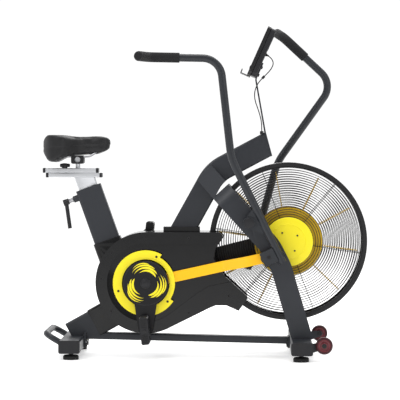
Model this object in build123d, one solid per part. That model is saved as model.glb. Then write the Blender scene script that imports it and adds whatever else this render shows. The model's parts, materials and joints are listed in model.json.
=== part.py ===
from build123d import *
import math
import os

# Air bike. Millimetres, +X towards the fan, +Y to the rider's left, +Z up.
# The origin is on the floor under the middle of the bike.

# ---------------------------------------------------------------- driving dimensions
CLEAR = 0.5             # gap between pieces that slide past each other
FIT = 0.05              # radial running clearance of a shaft in its bore
JOIN_GAP = 0.3          # gap between neighbouring pieces of different bodies

TUBE_W = 50.0           # width of every frame tube across the bike
TUBE_WALL = 2.5
TUBE_CORNER = 8.0
PLATE_T = 6.0           # welded and bolted steel plates
SHEET_T = 3.0           # moulded and pressed covers

CRANK_X = -225.0        # crank axle
CRANK_Z = 285.5
CRANK_LENGTH = 175.0
AXLE_R = 10.0

FAN_X = 325.0           # fan axle
FAN_Z = 445.0
CAGE_R = 306.0
CAGE_CAP_R = 95.0
HUB_DISC_R = 132.0
BLADE_COUNT = 10
BLADE_TIP_R = 272.0
WIRE = 2.6              # cage wire thickness
RING_PITCH = 9.0
BAR_COUNT = 6           # radial wires of each grille
CAGE_FLAT_Y = 62.0      # outer face of a grille's flat middle
CAGE_FLAT_R = 235.0
CAGE_EDGE_Y = 38.0      # outer face of a grille at its edge
CAGE_EDGE_R = 290.0
CAGE_RIM_Y = 40.0       # half width of the rim band
CAGE_RIM_T = 3.0

PIVOT_X = 172.8         # swing arm pivot
PIVOT_Z = 521.8
ARM_R = 15.0
ARM_Y = 184.0           # centre plane of an arm's tube
ARM_SWING = 42.0        # degrees
ARM_BEND_R = 75.0
ARM_PIN = (240.6, 388.4)            # rod pin of the right arm at rest
GRIP_R = 19.0
GRIP_END_Y = 290.0
PIVOT_PIN_R = 12.0
PIVOT_HUB_R = 22.0

ROD_T = 10.0            # link rods
ROD_H = 40.0
ROD_REAR_Y = 95.0       # centre plane of a rod's rear run
ROD_FRONT_Y = 151.0     # centre plane of its front run
ROD_PIN_R = 8.0
ECCENTRIC = 53.0        # throw of the journal that drives the rods
JOURNAL_R = 9.0
JOURNAL_GAP = 1.0

LEG_Y = 117.0           # centre plane of a fork leg
LEG_D = 80.0
SEAT_TUBE_D = 100.0
SEAT_TUBE_ANGLE = 70.4
MAIN_TUBE_D = 94.0
STRUT_D = 100.0
STRUT_ANGLE = 29.0

POST_D = 75.0           # seat post section, front to back
POST_W = 35.0
POST_WALL = 2.5
POST_RISE = 80.0        # post that stands above the seat tube, before it is cut under its bar
SEAT_TRAVEL = 180.0
SLIDER_TRAVEL = 60.0

STABILIZER_D = 82.0
STABILIZER_H = 50.0
STABILIZER_Z = 25.0
REAR_STABILIZER_X = -511.0
REAR_STABILIZER_L = 460.0
FRONT_STABILIZER_X = 372.5
FRONT_STABILIZER_L = 590.0
CAP_T = 8.0
RAIL_H = 27.0
FOOT_R = 30.0
FOOT_H = 17.0
FOOT_STEM_R = 5.0
FOOT_X = {"rear": -507.0, "front": 370.0}
FOOT_Y = {"rear": 190.0, "front": 255.0}

WHEEL_R = 33.0
WHEEL_W = 22.0
WHEEL_X = 457.0
WHEEL_Z = 60.0
WHEEL_Y = 250.0
WHEEL_PIN_R = 5.0

CASING_FACE_Y = 86.0    # outer face of the side casing
CASING_R = 196.0        # lobe about the crank
PANEL_R = 151.0         # inner edge of the raised rim
WEB_R = 78.0            # round inner crank web
WEB_T = 7.0
RING_OUT_R = 127.0
RING_CUT_R = 113.0
RING_IN_R = 92.0
RING_T = 4.0
DISC_R = 88.0           # outer crank disc
ARM_T = 14.0            # crank arm thickness
PEDAL_L = 90.0          # pedal body along its spindle
PEDAL_W = 105.0
PEDAL_T = 32.0
SPINDLE_R = 6.0

BELT_W = 14.0
BELT_T = 4.0
BELT_1_Y = 49.0         # middle of the crank belt
BELT_2_Y = 75.0         # middle of the fan belt
CRANK_PULLEY_R = 110.0
JACK_X = -12.0
JACK_Z = 351.0
JACK_SMALL_R = 30.0
JACK_LARGE_R = 36.0
FAN_PULLEY_R = 28.0

CONSOLE_L = 206.0
CONSOLE_W = 150.0
CONSOLE_T = 35.0
CONSOLE_TILT = 66.0
BUTTON_R = 6.0
CABLE_R = 2.0

SIDES = {"right": -1, "left": 1}


# ---------------------------------------------------------------- helpers
def slab(sketch, y_low, y_high):
    """Fill a sketch drawn in (X, Z) from y_low to y_high."""
    return extrude(Plane.XZ.offset(-y_high) * sketch, amount=y_high - y_low)


def side_slab(sketch, side, near, far):
    """Fill a sketch from |y| near to |y| far on one side of the bike."""
    if side < 0:
        return slab(sketch, -far, -near)
    return slab(sketch, near, far)


def disc(x, z, radius, side, near, far):
    """A round slab about (x, z) on one side of the bike."""
    return side_slab(Pos(x, z) * Circle(radius), side, near, far)


def rod_y(x, z, radius, y_low, y_high):
    """A cylinder along Y."""
    return slab(Pos(x, z) * Circle(radius), y_low, y_high)


def block(x_low, x_high, y_low, y_high, z_low, z_high):
    """A box given by its limits."""
    size = (x_high - x_low, y_high - y_low, z_high - z_low)
    centre = ((x_low + x_high) / 2, (y_low + y_high) / 2, (z_low + z_high) / 2)
    return Pos(*centre) * Box(*size)


def post_z(x, y, radius, z_low, z_high):
    """A cylinder along Z."""
    return Pos(x, y, (z_low + z_high) / 2) * Cylinder(radius, z_high - z_low)


def outline(points, radius=0.0):
    """A face in (X, Z) from its corners, rounded by one radius where it is given."""
    face = make_face(Polyline(*points, close=True))
    if radius:
        face = fillet(face.vertices(), radius)
    return face


def box_tube(path, depth, wall=TUBE_WALL, width=TUBE_W, corner=TUBE_CORNER):
    """A rectangular tube along a path in the XZ plane: the tube, and its solid envelope."""
    plane = Plane(origin=path @ 0, x_dir=(0, 1, 0), z_dir=path % 0)
    outer = sweep(plane * RectangleRounded(width, depth, corner), path=path)
    bore = RectangleRounded(width - 2 * wall, depth - 2 * wall, corner - wall)
    return outer - sweep(plane * bore, path=path), outer


def round_bar(path, radius):
    """A round bar along a path of lines and tangent arcs."""
    plane = Plane(origin=path @ 0, z_dir=path % 0)
    return sweep(plane * Circle(radius), path=path)


def along(x, z, angle, distance):
    """The point at a distance from (x, z) in a direction given in degrees above +X."""
    turn = math.radians(angle)
    return x + distance * math.cos(turn), z + distance * math.sin(turn)


def at(point, y=0.0):
    """An (x, z) point as a point in space."""
    return (point[0], y, point[1])


def loop_belt(x0, z0, r0, x1, z1, r1, thickness, y_low, y_high):
    """An open belt round two pulleys."""
    def band(extra):
        return make_hull([
            *(Pos(x0, z0) * Circle(r0 + extra)).edges(),
            *(Pos(x1, z1) * Circle(r1 + extra)).edges(),
        ])
    return slab(band(thickness) - band(0.0), y_low, y_high)


def largest(shape):
    """The biggest solid of a cut that leaves scraps."""
    return max(shape.solids(), key=lambda item: item.volume)


def swung(point, angle):
    """An (x, z) point turned about the arm pivot, forwards for a positive angle."""
    turn = math.radians(angle)
    dx = point[0] - PIVOT_X
    dz = point[1] - PIVOT_Z
    return (PIVOT_X + dx * math.cos(turn) + dz * math.sin(turn),
            PIVOT_Z - dx * math.sin(turn) + dz * math.cos(turn))


def towards(start, end, distance):
    """The point at a distance from one (x, z) point in the direction of another."""
    heading = math.degrees(math.atan2(end[1] - start[1], end[0] - start[0]))
    return along(*start, heading, distance)


parts = {}


def keep(name, *solids):
    """File the solids of one node under its name."""
    pieces = []
    for item in solids:
        pieces += item.solids()
    parts[name] = pieces[0] if len(pieces) == 1 else Compound(children=pieces)
    parts[name].label = name
    return parts[name]


# ---------------------------------------------------------------- frame lines
STRUT_FOOT = (-454.5, 111.5)        # a point on the strut's centre line
SEAT_TOP = (-454.5, 652.9)          # top of the seat tube's centre line
MAIN_CORNER = (40.0, 712.0)
MAIN_LOW_ANGLE = 60.9
MAIN_TOP_ANGLE = 28.0
MAIN_BEND_R = 150.0
SEAT_DOWN = 360.0 - SEAT_TUBE_ANGLE
LEG_SPLAY = 80.0                    # run over which a leg moves out from the main tube
LEG_BEND_R = 150.0
SHELL_R = 28.0                      # bottom bracket
SHELL_Y = 34.0
BEARING_W = 10.0
NUT_T = 7.0

stabilizer_top = STABILIZER_Z + STABILIZER_H


def stabilizer(x, length):
    """A floor tube across the bike and its solid envelope."""
    centre = Pos(x, STABILIZER_Z + STABILIZER_H / 2)
    half = length / 2 - CAP_T
    outer = slab(centre * RectangleRounded(STABILIZER_D, STABILIZER_H, TUBE_CORNER), -half, half)
    bore = RectangleRounded(STABILIZER_D - 2 * TUBE_WALL, STABILIZER_H - 2 * TUBE_WALL,
                            TUBE_CORNER - TUBE_WALL)
    return outer - slab(centre * bore, -half, half), outer


rear_stabilizer, rear_stabilizer_body = stabilizer(REAR_STABILIZER_X, REAR_STABILIZER_L)
front_stabilizer, front_stabilizer_body = stabilizer(FRONT_STABILIZER_X, FRONT_STABILIZER_L)

# main tube: up from the crank, round a bend, and out to the console plate
main_low = along(*MAIN_CORNER, 180.0 + MAIN_LOW_ANGLE, 580.0)
main_end = along(*MAIN_CORNER, MAIN_TOP_ANGLE, 260.0)
main_path = FilletPolyline(at(main_low), at(MAIN_CORNER), at(main_end), radius=MAIN_BEND_R)
main_tube, main_body = box_tube(main_path, MAIN_TUBE_D)

# console bracket: a bent flat plate that closes the main tube's cut end
PLATE_FOOT = (260.5, 775.0)
PLATE_BEND = (235.0, 869.0)
CONSOLE_LOW = (164.0, 1090.0)       # lower end of the console's front face
PLATE_UP = 68.0                     # run of the plate up the console's back
bracket_top = along(*CONSOLE_LOW, CONSOLE_TILT - 90.0, CONSOLE_T + PLATE_T / 2)
bracket_end = along(*bracket_top, CONSOLE_TILT, PLATE_UP)
bracket_line = FilletPolyline(PLATE_FOOT, PLATE_BEND, bracket_top, bracket_end, radius=[60.0, 25.0])
console_bracket = slab(trace(bracket_line, PLATE_T), -TUBE_W / 2, TUBE_W / 2)
cut_angle = math.degrees(math.atan2(PLATE_BEND[1] - PLATE_FOOT[1], PLATE_BEND[0] - PLATE_FOOT[0]))
cut_low = along(*along(*PLATE_FOOT, cut_angle, -200.0), cut_angle + 90.0, PLATE_T / 2)
cut_top = along(*along(*PLATE_BEND, cut_angle, 60.0), cut_angle + 90.0, PLATE_T / 2)
far_low = along(*cut_low, cut_angle - 90.0, 200.0)
far_top = along(*cut_top, cut_angle - 90.0, 200.0)
beyond_plate = slab(outline([cut_low, cut_top, far_top, far_low]), -TUBE_W, TUBE_W)
main_tube = main_tube - beyond_plate
main_body = main_body - beyond_plate
console_bracket = console_bracket - main_body

# rear strut, seat tube and bottom bracket
strut_low = along(*STRUT_FOOT, 180.0 + STRUT_ANGLE, 75.0)
strut_high = along(*STRUT_FOOT, STRUT_ANGLE, 265.0)
strut_tube, strut_body = box_tube(Line(at(strut_low), at(strut_high)), STRUT_D)
seat_low = along(*SEAT_TOP, SEAT_DOWN, 470.0)
seat_path = Line(at(SEAT_TOP), at(seat_low))
seat_tube = box_tube(seat_path, SEAT_TUBE_D)[0]
shell_body = rod_y(CRANK_X, CRANK_Z, SHELL_R, -SHELL_Y, SHELL_Y)
shell_bore_r = SHELL_R - 5.0
bearing_hole = rod_y(CRANK_X, CRANK_Z, AXLE_R + FIT, -CASING_FACE_Y, CASING_FACE_Y)
bottom_bracket = shell_body - rod_y(CRANK_X, CRANK_Z, shell_bore_r, -SHELL_Y, SHELL_Y)
bearings = [
    disc(CRANK_X, CRANK_Z, shell_bore_r, side, SHELL_Y - BEARING_W, SHELL_Y) - bearing_hole
    for side in SIDES.values()
]
main_tube = main_tube - shell_body
strut_tube = strut_tube - main_body - rear_stabilizer_body - shell_body
seat_tube = seat_tube - strut_body - main_body - shell_body

# seat tube: clamp boss, guide sleeve, and the hole that the clamp's stud runs in
LEVER_DOWN = 26.0                   # stud below the tube's top
LEVER_STUD_R = 5.0
BOSS_R = 13.0
BOSS_L = 20.0
SLEEVE_L = 120.0
rear_normal = (-math.sin(math.radians(SEAT_TUBE_ANGLE)), 0.0, -math.cos(math.radians(SEAT_TUBE_ANGLE)))
stud_root = along(*SEAT_TOP, SEAT_DOWN, LEVER_DOWN)
stud_plane = Plane(origin=at(stud_root), x_dir=(0, 1, 0), z_dir=rear_normal)


def on_stud(radius, start, end):
    """A cylinder on the clamp stud's axis, between two distances from the seat tube's centre line."""
    return extrude(stud_plane.offset(start) * Circle(radius), amount=end - start)


def seat_section(width, depth, down, length, corner):
    """A rounded bar inside the seat tube, from a distance below its top."""
    start = along(*SEAT_TOP, SEAT_DOWN, down)
    plane = Plane(origin=at(start), x_dir=(0, 1, 0), z_dir=(math.cos(math.radians(SEAT_DOWN)), 0,
                                                             math.sin(math.radians(SEAT_DOWN))))
    return extrude(plane * RectangleRounded(width, depth, corner), amount=length)


POST_CORNER = 5.0
stud_hole = on_stud(LEVER_STUD_R + FIT, POST_D / 2, SEAT_TUBE_D / 2 + BOSS_L + 1.0)
boss = on_stud(BOSS_R, SEAT_TUBE_D / 2 - TUBE_WALL / 2, SEAT_TUBE_D / 2 + BOSS_L)
seat_tube = seat_tube + boss - stud_hole
sleeve = seat_section(TUBE_W - 2 * TUBE_WALL, SEAT_TUBE_D - 2 * TUBE_WALL, 0.0, SLEEVE_L,
                      TUBE_CORNER - TUBE_WALL)
post_room = seat_section(POST_W + 2 * CLEAR, POST_D + 2 * CLEAR, 0.0, SLEEVE_L, POST_CORNER)
sleeve = sleeve - post_room - stud_hole

# fork legs: a side outline met with a plan outline that splays out from the main tube
LEG_LINE = [(-30.0, 743.4), (255.0, 430.0), (296.0, 350.0), (380.0, 66.0)]
LEG_ROOT = 100.0                    # run of a leg that lies against the main tube's side
LEG_RUN = 900.0                     # longer than a leg
LEG_ROOT_R = 30.0
LEG_SPLAY_R = 60.0
leg_angle = math.degrees(math.atan2(LEG_LINE[1][1] - LEG_LINE[0][1], LEG_LINE[1][0] - LEG_LINE[0][0]))


def leg_solid(side, shrink):
    """One fork leg, its outline drawn in by a wall on every side."""
    wide_y = LEG_Y * 2
    line = FilletPolyline(*LEG_LINE, radius=LEG_BEND_R)
    side_view = slab(trace(line, LEG_D - 2 * shrink), -wide_y, wide_y)
    plan = Plane(origin=at(LEG_LINE[0]), x_dir=(math.cos(math.radians(leg_angle)), 0,
                                                math.sin(math.radians(leg_angle))),
                 z_dir=(-math.sin(math.radians(leg_angle)), 0, math.cos(math.radians(leg_angle))))
    band_line = FilletPolyline((0.0, 0.0), (LEG_ROOT / 2, 0.0), (LEG_ROOT + LEG_SPLAY, side * LEG_Y),
                               (LEG_RUN, side * LEG_Y), radius=[LEG_ROOT_R, LEG_SPLAY_R])
    band = plan * trace(band_line, TUBE_W - 2 * shrink)
    top = extrude(plan * Rectangle(2 * (LEG_ROOT + LEG_D / 2), 2 * wide_y), amount=LEG_D * 2, both=True)
    tube_face = trace(FilletPolyline(main_low, MAIN_CORNER, main_end, radius=MAIN_BEND_R),
                      MAIN_TUBE_D - 2 * shrink)
    outside = top - slab(tube_face, -wide_y, wide_y)
    inside = slab(tube_face, -TUBE_W / 2, TUBE_W / 2)
    return largest((side_view & extrude(band, amount=LEG_RUN, both=True)) - outside - inside)


PIN_TIP_Y = ARM_Y + 18.0            # outer end of the arm's pivot pin
PIN_CAP_R = 19.0
legs = {}
for name, side in SIDES.items():
    envelope = leg_solid(side, 0.0)
    leg = envelope - leg_solid(side, TUBE_WALL) - main_body - front_stabilizer_body
    leg_face = LEG_Y + TUBE_W / 2
    collar = disc(PIVOT_X, PIVOT_Z, PIVOT_HUB_R - 1.0, side, leg_face - TUBE_WALL, leg_face + 3.0)
    pin = disc(PIVOT_X, PIVOT_Z, PIVOT_PIN_R, side, leg_face - TUBE_WALL, PIN_TIP_Y)
    legs[name] = largest(leg + collar + pin)

# base rail with bolted flanges
RAIL_REAR_Z = 75.0
RAIL_FRONT_Z = 57.0
FLANGE_T = 8.0
FLANGE_W = 90.0
rail_start = REAR_STABILIZER_X + STABILIZER_D / 2
rail_stop = FRONT_STABILIZER_X - STABILIZER_D / 2
rail_line = Line((rail_start - 4.0, 0, RAIL_REAR_Z), (rail_stop + 4.0, 0, RAIL_FRONT_Z))
rail_tube, rail_body = box_tube(rail_line, RAIL_H, corner=5.0)
between = block(rail_start, rail_stop, -FLANGE_W, FLANGE_W, 0.0, 200.0)
rear_flange = block(rail_start, rail_start + FLANGE_T, -FLANGE_W / 2, FLANGE_W / 2,
                    STABILIZER_Z + 5.0, RAIL_REAR_Z + RAIL_H / 2)
front_flange = block(rail_stop - FLANGE_T, rail_stop, -FLANGE_W / 2, FLANGE_W / 2,
                     STABILIZER_Z + 5.0, stabilizer_top - 2.0)
base_rail = (rail_tube & between) + rear_flange + front_flange
strut_tube = largest(strut_tube - rail_body - rear_flange)

# transport wheel brackets on the wheels' inner sides, welded to the front stabiliser
WHEEL_PLATE_T = 4.0
WHEEL_GAP = 1.5
front_face = FRONT_STABILIZER_X + STABILIZER_D / 2
wheel_arm = make_hull([
    *(Pos(WHEEL_X, WHEEL_Z) * Circle(12.0)).edges(),
    *outline([(front_face, STABILIZER_Z + 8), (front_face + 5, STABILIZER_Z + 8),
              (front_face + 5, stabilizer_top - 8), (front_face, stabilizer_top - 8)]).edges(),
])
wheel_near_y = WHEEL_Y - WHEEL_W / 2 - WHEEL_GAP
wheel_far_y = WHEEL_Y + WHEEL_W / 2 + WHEEL_GAP
for side in SIDES.values():
    plate = side_slab(wheel_arm, side, wheel_near_y - WHEEL_PLATE_T, wheel_near_y)
    pin_hole = disc(WHEEL_X, WHEEL_Z, WHEEL_PIN_R, side, wheel_near_y - WHEEL_PLATE_T, wheel_near_y)
    front_stabilizer = front_stabilizer + (plate - pin_hole)

# rear lifting handle
HANDLE_R = 12.0
HANDLE_Y = 150.0
HANDLE_X = -607.0
HANDLE_Z = 93.0
HANDLE_FOOT_Z = 61.0
handle_root = REAR_STABILIZER_X - STABILIZER_D / 2
handle_path = FilletPolyline(
    (handle_root + 10, -HANDLE_Y, HANDLE_FOOT_Z - 6), (HANDLE_X, -HANDLE_Y, HANDLE_Z),
    (HANDLE_X, HANDLE_Y, HANDLE_Z), (handle_root + 10, HANDLE_Y, HANDLE_FOOT_Z - 6), radius=35.0)
rear_handle = round_bar(handle_path, HANDLE_R) - round_bar(handle_path, HANDLE_R - 2.0) - rear_stabilizer_body
rear_handle = largest(rear_handle)

# ---------------------------------------------------------------- drive train
WEB_OUT_Y = CASING_FACE_Y
DISC_Y = 109.0                      # inner face of an outer crank disc
ARM_TIP_R = 28.0
ARM_ROOT_W = 44.0                   # half width where the arm leaves the disc
HUB_CAP_R = 20.0
HUB_CAP_T = 5.0
AXLE_HOLE_R = AXLE_R + 4.0         # opening in the casing
PEDAL_Y = 128.0                     # inner end of a pedal body
rod_in_y = ROD_REAR_Y - ROD_T / 2
rod_out_y = ROD_REAR_Y + ROD_T / 2

# rest angles of the cranks and of the journals that drive the rods
CRANK_ANGLE = {"right": -90.0, "left": 90.0}
crank_point = (CRANK_X, CRANK_Z)
arm_pin_rest = {"right": ARM_PIN, "left": swung(ARM_PIN, ARM_SWING)}
rod_length = math.dist(crank_point, ARM_PIN) - ECCENTRIC
rod_eye_rest = {
    "right": towards(ARM_PIN, crank_point, rod_length),
    "left": towards(arm_pin_rest["left"], crank_point, rod_length),
}
print("rod length", rod_length)
print("left journal throw", rod_length - math.dist(crank_point, arm_pin_rest["left"]))


def crank_end(name):
    """The pedal axis of a crank at rest."""
    return along(CRANK_X, CRANK_Z, CRANK_ANGLE[name], CRANK_LENGTH)


# the axle stops at the inner webs, because the rods pass over its ends
axle = rod_y(CRANK_X, CRANK_Z, AXLE_R, -WEB_OUT_Y, WEB_OUT_Y)
webs = []
for name, side in SIDES.items():
    web = disc(CRANK_X, CRANK_Z, WEB_R, side, WEB_OUT_Y - WEB_T, WEB_OUT_Y)
    web = web + disc(*rod_eye_rest[name], JOURNAL_R, side, WEB_OUT_Y - WEB_T, rod_in_y - JOURNAL_GAP)
    webs.append(web - axle)

crank_arms = {}
spindle_end = PEDAL_Y + PEDAL_L - 4.0
for name, side in SIDES.items():
    tip = crank_end(name)
    root = along(CRANK_X, CRANK_Z, CRANK_ANGLE[name], DISC_R * 0.8)
    flare = make_hull([
        *(Pos(*tip) * Circle(ARM_TIP_R)).edges(),
        *(Pos(*root) * Circle(ARM_ROOT_W)).edges(),
    ])
    arm_face = (Pos(CRANK_X, CRANK_Z) * Circle(DISC_R)) + flare
    arm = side_slab(arm_face, side, DISC_Y, DISC_Y + ARM_T)
    arm = arm + disc(*rod_eye_rest[name], JOURNAL_R, side, rod_out_y + JOURNAL_GAP, DISC_Y)
    cap_in = DISC_Y + ARM_T
    cap = disc(CRANK_X, CRANK_Z, HUB_CAP_R, side, cap_in, cap_in + HUB_CAP_T)
    spindle = disc(*tip, SPINDLE_R, side, DISC_Y, spindle_end)
    arm = arm - spindle
    crank_arms[name] = [arm, cap, spindle]

# pedals hang with their long side down
PEDAL_TILT = {"right": 96.0, "left": 84.0}
PEDAL_CORNER = 8.0
PEDAL_WALL = 8.0
PEDAL_TUBE_R = 15.0                 # tube round the spindle
pedals = {}
for name, side in SIDES.items():
    tip = crank_end(name)
    placed = Pos(*tip) * Rot(0, 0, PEDAL_TILT[name])
    end_face = placed * RectangleRounded(PEDAL_W, PEDAL_T, PEDAL_CORNER)
    body = side_slab(end_face, side, PEDAL_Y, PEDAL_Y + PEDAL_L)
    core = placed * Rectangle(PEDAL_W - 2 * PEDAL_WALL, PEDAL_T) - Pos(*tip) * Circle(PEDAL_TUBE_R)
    hollow = side_slab(core, side, PEDAL_Y + PEDAL_WALL, PEDAL_Y + PEDAL_L - PEDAL_WALL)
    rib_y = PEDAL_Y + PEDAL_L / 2
    rib = side_slab(end_face, side, rib_y - PEDAL_WALL / 2, rib_y + PEDAL_WALL / 2)
    body = body - (hollow - rib)
    bore = disc(*tip, SPINDLE_R + FIT, side, PEDAL_Y - 1.0, spindle_end + CLEAR)
    pedals[name] = body - bore

# pulleys, jackshaft and belts on the left side
JACK_R = 8.0
FAN_SHAFT_R = 10.0
crank_pulley = disc(CRANK_X, CRANK_Z, CRANK_PULLEY_R, 1, BELT_1_Y - BELT_W / 2, BELT_1_Y + BELT_W / 2) - axle
for turn in range(6):
    hole = along(CRANK_X, CRANK_Z, 60.0 * turn, CRANK_PULLEY_R * 0.58)
    crank_pulley = crank_pulley - disc(*hole, CRANK_PULLEY_R * 0.2, 1, 0.0, CASING_FACE_Y)
jackshaft = rod_y(JACK_X, JACK_Z, JACK_R, -8.0, BELT_2_Y + BELT_W / 2)
jack_pulley_1 = rod_y(JACK_X, JACK_Z, JACK_SMALL_R, BELT_1_Y - BELT_W / 2, BELT_1_Y + BELT_W / 2) - jackshaft
jack_pulley_2 = rod_y(JACK_X, JACK_Z, JACK_LARGE_R, BELT_2_Y - BELT_W / 2, BELT_2_Y + BELT_W / 2) - jackshaft
belt_1 = loop_belt(CRANK_X, CRANK_Z, CRANK_PULLEY_R + FIT, JACK_X, JACK_Z, JACK_SMALL_R + FIT, BELT_T,
                   BELT_1_Y - BELT_W / 2 + 1.0, BELT_1_Y + BELT_W / 2 - 1.0)
belt_2 = loop_belt(JACK_X, JACK_Z, JACK_LARGE_R + FIT, FAN_X, FAN_Z, FAN_PULLEY_R + FIT, BELT_T,
                   BELT_2_Y - BELT_W / 2 + 1.0, BELT_2_Y + BELT_W / 2 - 1.0)
print("jackshaft ratio", CRANK_PULLEY_R / JACK_SMALL_R)
print("fan ratio", CRANK_PULLEY_R / JACK_SMALL_R * JACK_LARGE_R / FAN_PULLEY_R)

# jackshaft bracket: an arm off the main tube that ends in a bearing boss
JACK_BOSS_R = 19.0
jack_root = (-125.0, 340.0)
jack_arm = make_hull([
    *(Pos(JACK_X, JACK_Z) * Circle(JACK_BOSS_R)).edges(),
    *(Pos(*jack_root) * Circle(34.0)).edges(),
])
jack_boss_y = BELT_1_Y - BELT_W / 2 - 6.0
jackshaft_bracket = slab(jack_arm, 6.0, 16.0)
jackshaft_bracket = jackshaft_bracket + rod_y(JACK_X, JACK_Z, JACK_BOSS_R, -6.0, jack_boss_y)
jackshaft_bracket = jackshaft_bracket - rod_y(JACK_X, JACK_Z, JACK_R + FIT, -60.0, 60.0) - main_body

# belt guard: a shallow box on the left, over the fan belt
GUARD_IN_Y = CAGE_FLAT_Y + 1.0
GUARD_OUT_Y = BELT_2_Y + BELT_W / 2 + 5.5
GUARD_SPARE = 6.0                   # room between belt and guard wall


def guard_face(extra):
    """The guard's outline, grown or shrunk by a margin."""
    return make_hull([
        *(Pos(JACK_X, JACK_Z) * Circle(JACK_LARGE_R + BELT_T + GUARD_SPARE + extra)).edges(),
        *(Pos(FAN_X, FAN_Z) * Circle(FAN_PULLEY_R + BELT_T + GUARD_SPARE + extra)).edges(),
    ])


guard_body = slab(guard_face(SHEET_T), GUARD_IN_Y, GUARD_OUT_Y)
guard_room = slab(guard_face(0.0), GUARD_IN_Y + 2.0, GUARD_OUT_Y - 2.0)
belt_guard = guard_body - guard_room
belt_guard = belt_guard - rod_y(JACK_X, JACK_Z, JACK_R + 4.0, 0.0, BELT_2_Y)
belt_guard = belt_guard - rod_y(FAN_X, FAN_Z, FAN_SHAFT_R + 4.0, 0.0, 120.0)

# ---------------------------------------------------------------- fan and cage
NEAR_PLATE_Y = 66.0                 # fan bearing plate on the right, under the cage cap
NEAR_PLATE_T = 8.0
CAP_IN_Y = 76.0
CAP_OUT_Y = 88.0
FAR_PLATE_T = 4.0
BEARING_HUB_R = 34.0
DISC_SHEET = 2.0
BLADE_Y = 48.0
BLADE_TIP_Y = 28.0
BLADE_SHEET = 2.0
FAN_HUB_R = 24.0
FIRST_BLADE = 28.0
FIRST_BAR = 50.5
leg_face_in = LEG_Y - TUBE_W / 2
plate_feet = [(243.0, 441.0), (287.0, 368.0)]

fan_shaft = rod_y(FAN_X, FAN_Z, FAN_SHAFT_R, -(NEAR_PLATE_Y + NEAR_PLATE_T), leg_face_in)
fan_wheel = rod_y(FAN_X, FAN_Z, FAN_HUB_R, -BLADE_Y, BLADE_Y) + fan_shaft
for side in SIDES.values():
    fan_wheel = fan_wheel + disc(FAN_X, FAN_Z, HUB_DISC_R, side, BLADE_Y, BLADE_Y + DISC_SHEET)
blade_face = outline([(FAN_HUB_R + 8, -BLADE_Y), (HUB_DISC_R + 60, -BLADE_Y), (BLADE_TIP_R, -BLADE_TIP_Y),
                      (BLADE_TIP_R, BLADE_TIP_Y), (HUB_DISC_R + 60, BLADE_Y), (FAN_HUB_R + 8, BLADE_Y)])
blade = Pos(FAN_X, 0, FAN_Z) * extrude(Plane.XY * blade_face, amount=BLADE_SHEET / 2, both=True)
fan_line = Axis((FAN_X, 0, FAN_Z), (0, -1, 0))
blades = [blade.rotate(fan_line, FIRST_BLADE + 360.0 / BLADE_COUNT * turn) for turn in range(BLADE_COUNT)]
fan_pulley = rod_y(FAN_X, FAN_Z, FAN_PULLEY_R, BELT_2_Y - BELT_W / 2, BELT_2_Y + BELT_W / 2) - fan_shaft

rim_profile = make_face(Polyline(
    (CAGE_R - CAGE_RIM_T, 0), (CAGE_R, 0), (CAGE_R, CAGE_RIM_Y), (CAGE_EDGE_R, CAGE_RIM_Y),
    (CAGE_EDGE_R, CAGE_RIM_Y - CAGE_RIM_T), (CAGE_R - CAGE_RIM_T, CAGE_RIM_Y - CAGE_RIM_T), close=True))
half_rim = Pos(FAN_X, 0, FAN_Z) * revolve(Plane.XY * rim_profile, Axis.Y)
cage_rim = half_rim + mirror(half_rim, Plane.XZ)
grille_profile = make_face(Polyline(
    (0, CAGE_FLAT_Y), (CAGE_FLAT_R, CAGE_FLAT_Y), (CAGE_EDGE_R, CAGE_EDGE_Y),
    (CAGE_EDGE_R, CAGE_EDGE_Y - WIRE), (CAGE_FLAT_R, CAGE_FLAT_Y - WIRE), (0, CAGE_FLAT_Y - WIRE),
    close=True))
grille_shell = Pos(FAN_X, 0, FAN_Z) * revolve(Plane.XY * grille_profile, Axis.Y)
pattern = Circle(CAGE_CAP_R + 2.0) - Circle(FAN_SHAFT_R + 4.0)
pattern = pattern + (Circle(CAGE_EDGE_R) - Circle(CAGE_EDGE_R - 5.0))
ring = CAGE_CAP_R + 2.0 + RING_PITCH
while ring < CAGE_EDGE_R - 6.0:
    pattern = pattern + (Circle(ring + WIRE / 2) - Circle(ring - WIRE / 2))
    ring += RING_PITCH
bar_mid = (CAGE_CAP_R + CAGE_EDGE_R) / 2
for turn in range(BAR_COUNT):
    bar = Rot(0, 0, FIRST_BAR + 360.0 / BAR_COUNT * turn) * Pos(bar_mid, 0) * Rectangle(
        CAGE_EDGE_R - CAGE_CAP_R, WIRE + 1.0)
    pattern = pattern + bar
pattern = pattern & Circle(CAGE_EDGE_R)
left_grille = grille_shell & side_slab(Pos(FAN_X, FAN_Z) * pattern, 1, 0.0, 100.0)
right_grille = mirror(left_grille, Plane.XZ)

# fan bearing plates between the fan and the fork legs
plate_outline = make_hull([
    *(Pos(FAN_X, FAN_Z) * Circle(BEARING_HUB_R)).edges(),
    *[edge for foot in plate_feet for edge in (Pos(*foot) * Circle(20.0)).edges()],
])
plate_hole = rod_y(FAN_X, FAN_Z, FAN_SHAFT_R + FIT, -120.0, 120.0)
near_plate = side_slab(plate_outline, -1, NEAR_PLATE_Y, NEAR_PLATE_Y + NEAR_PLATE_T)
near_plate = near_plate + disc(FAN_X, FAN_Z, BEARING_HUB_R, -1, CAGE_FLAT_Y, NEAR_PLATE_Y)
for foot in plate_feet:
    near_plate = near_plate + disc(*foot, 16.0, -1, NEAR_PLATE_Y, leg_face_in)
near_plate = near_plate - plate_hole
far_plate = side_slab(plate_outline, 1, leg_face_in - FAR_PLATE_T, leg_face_in) - plate_hole

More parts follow.
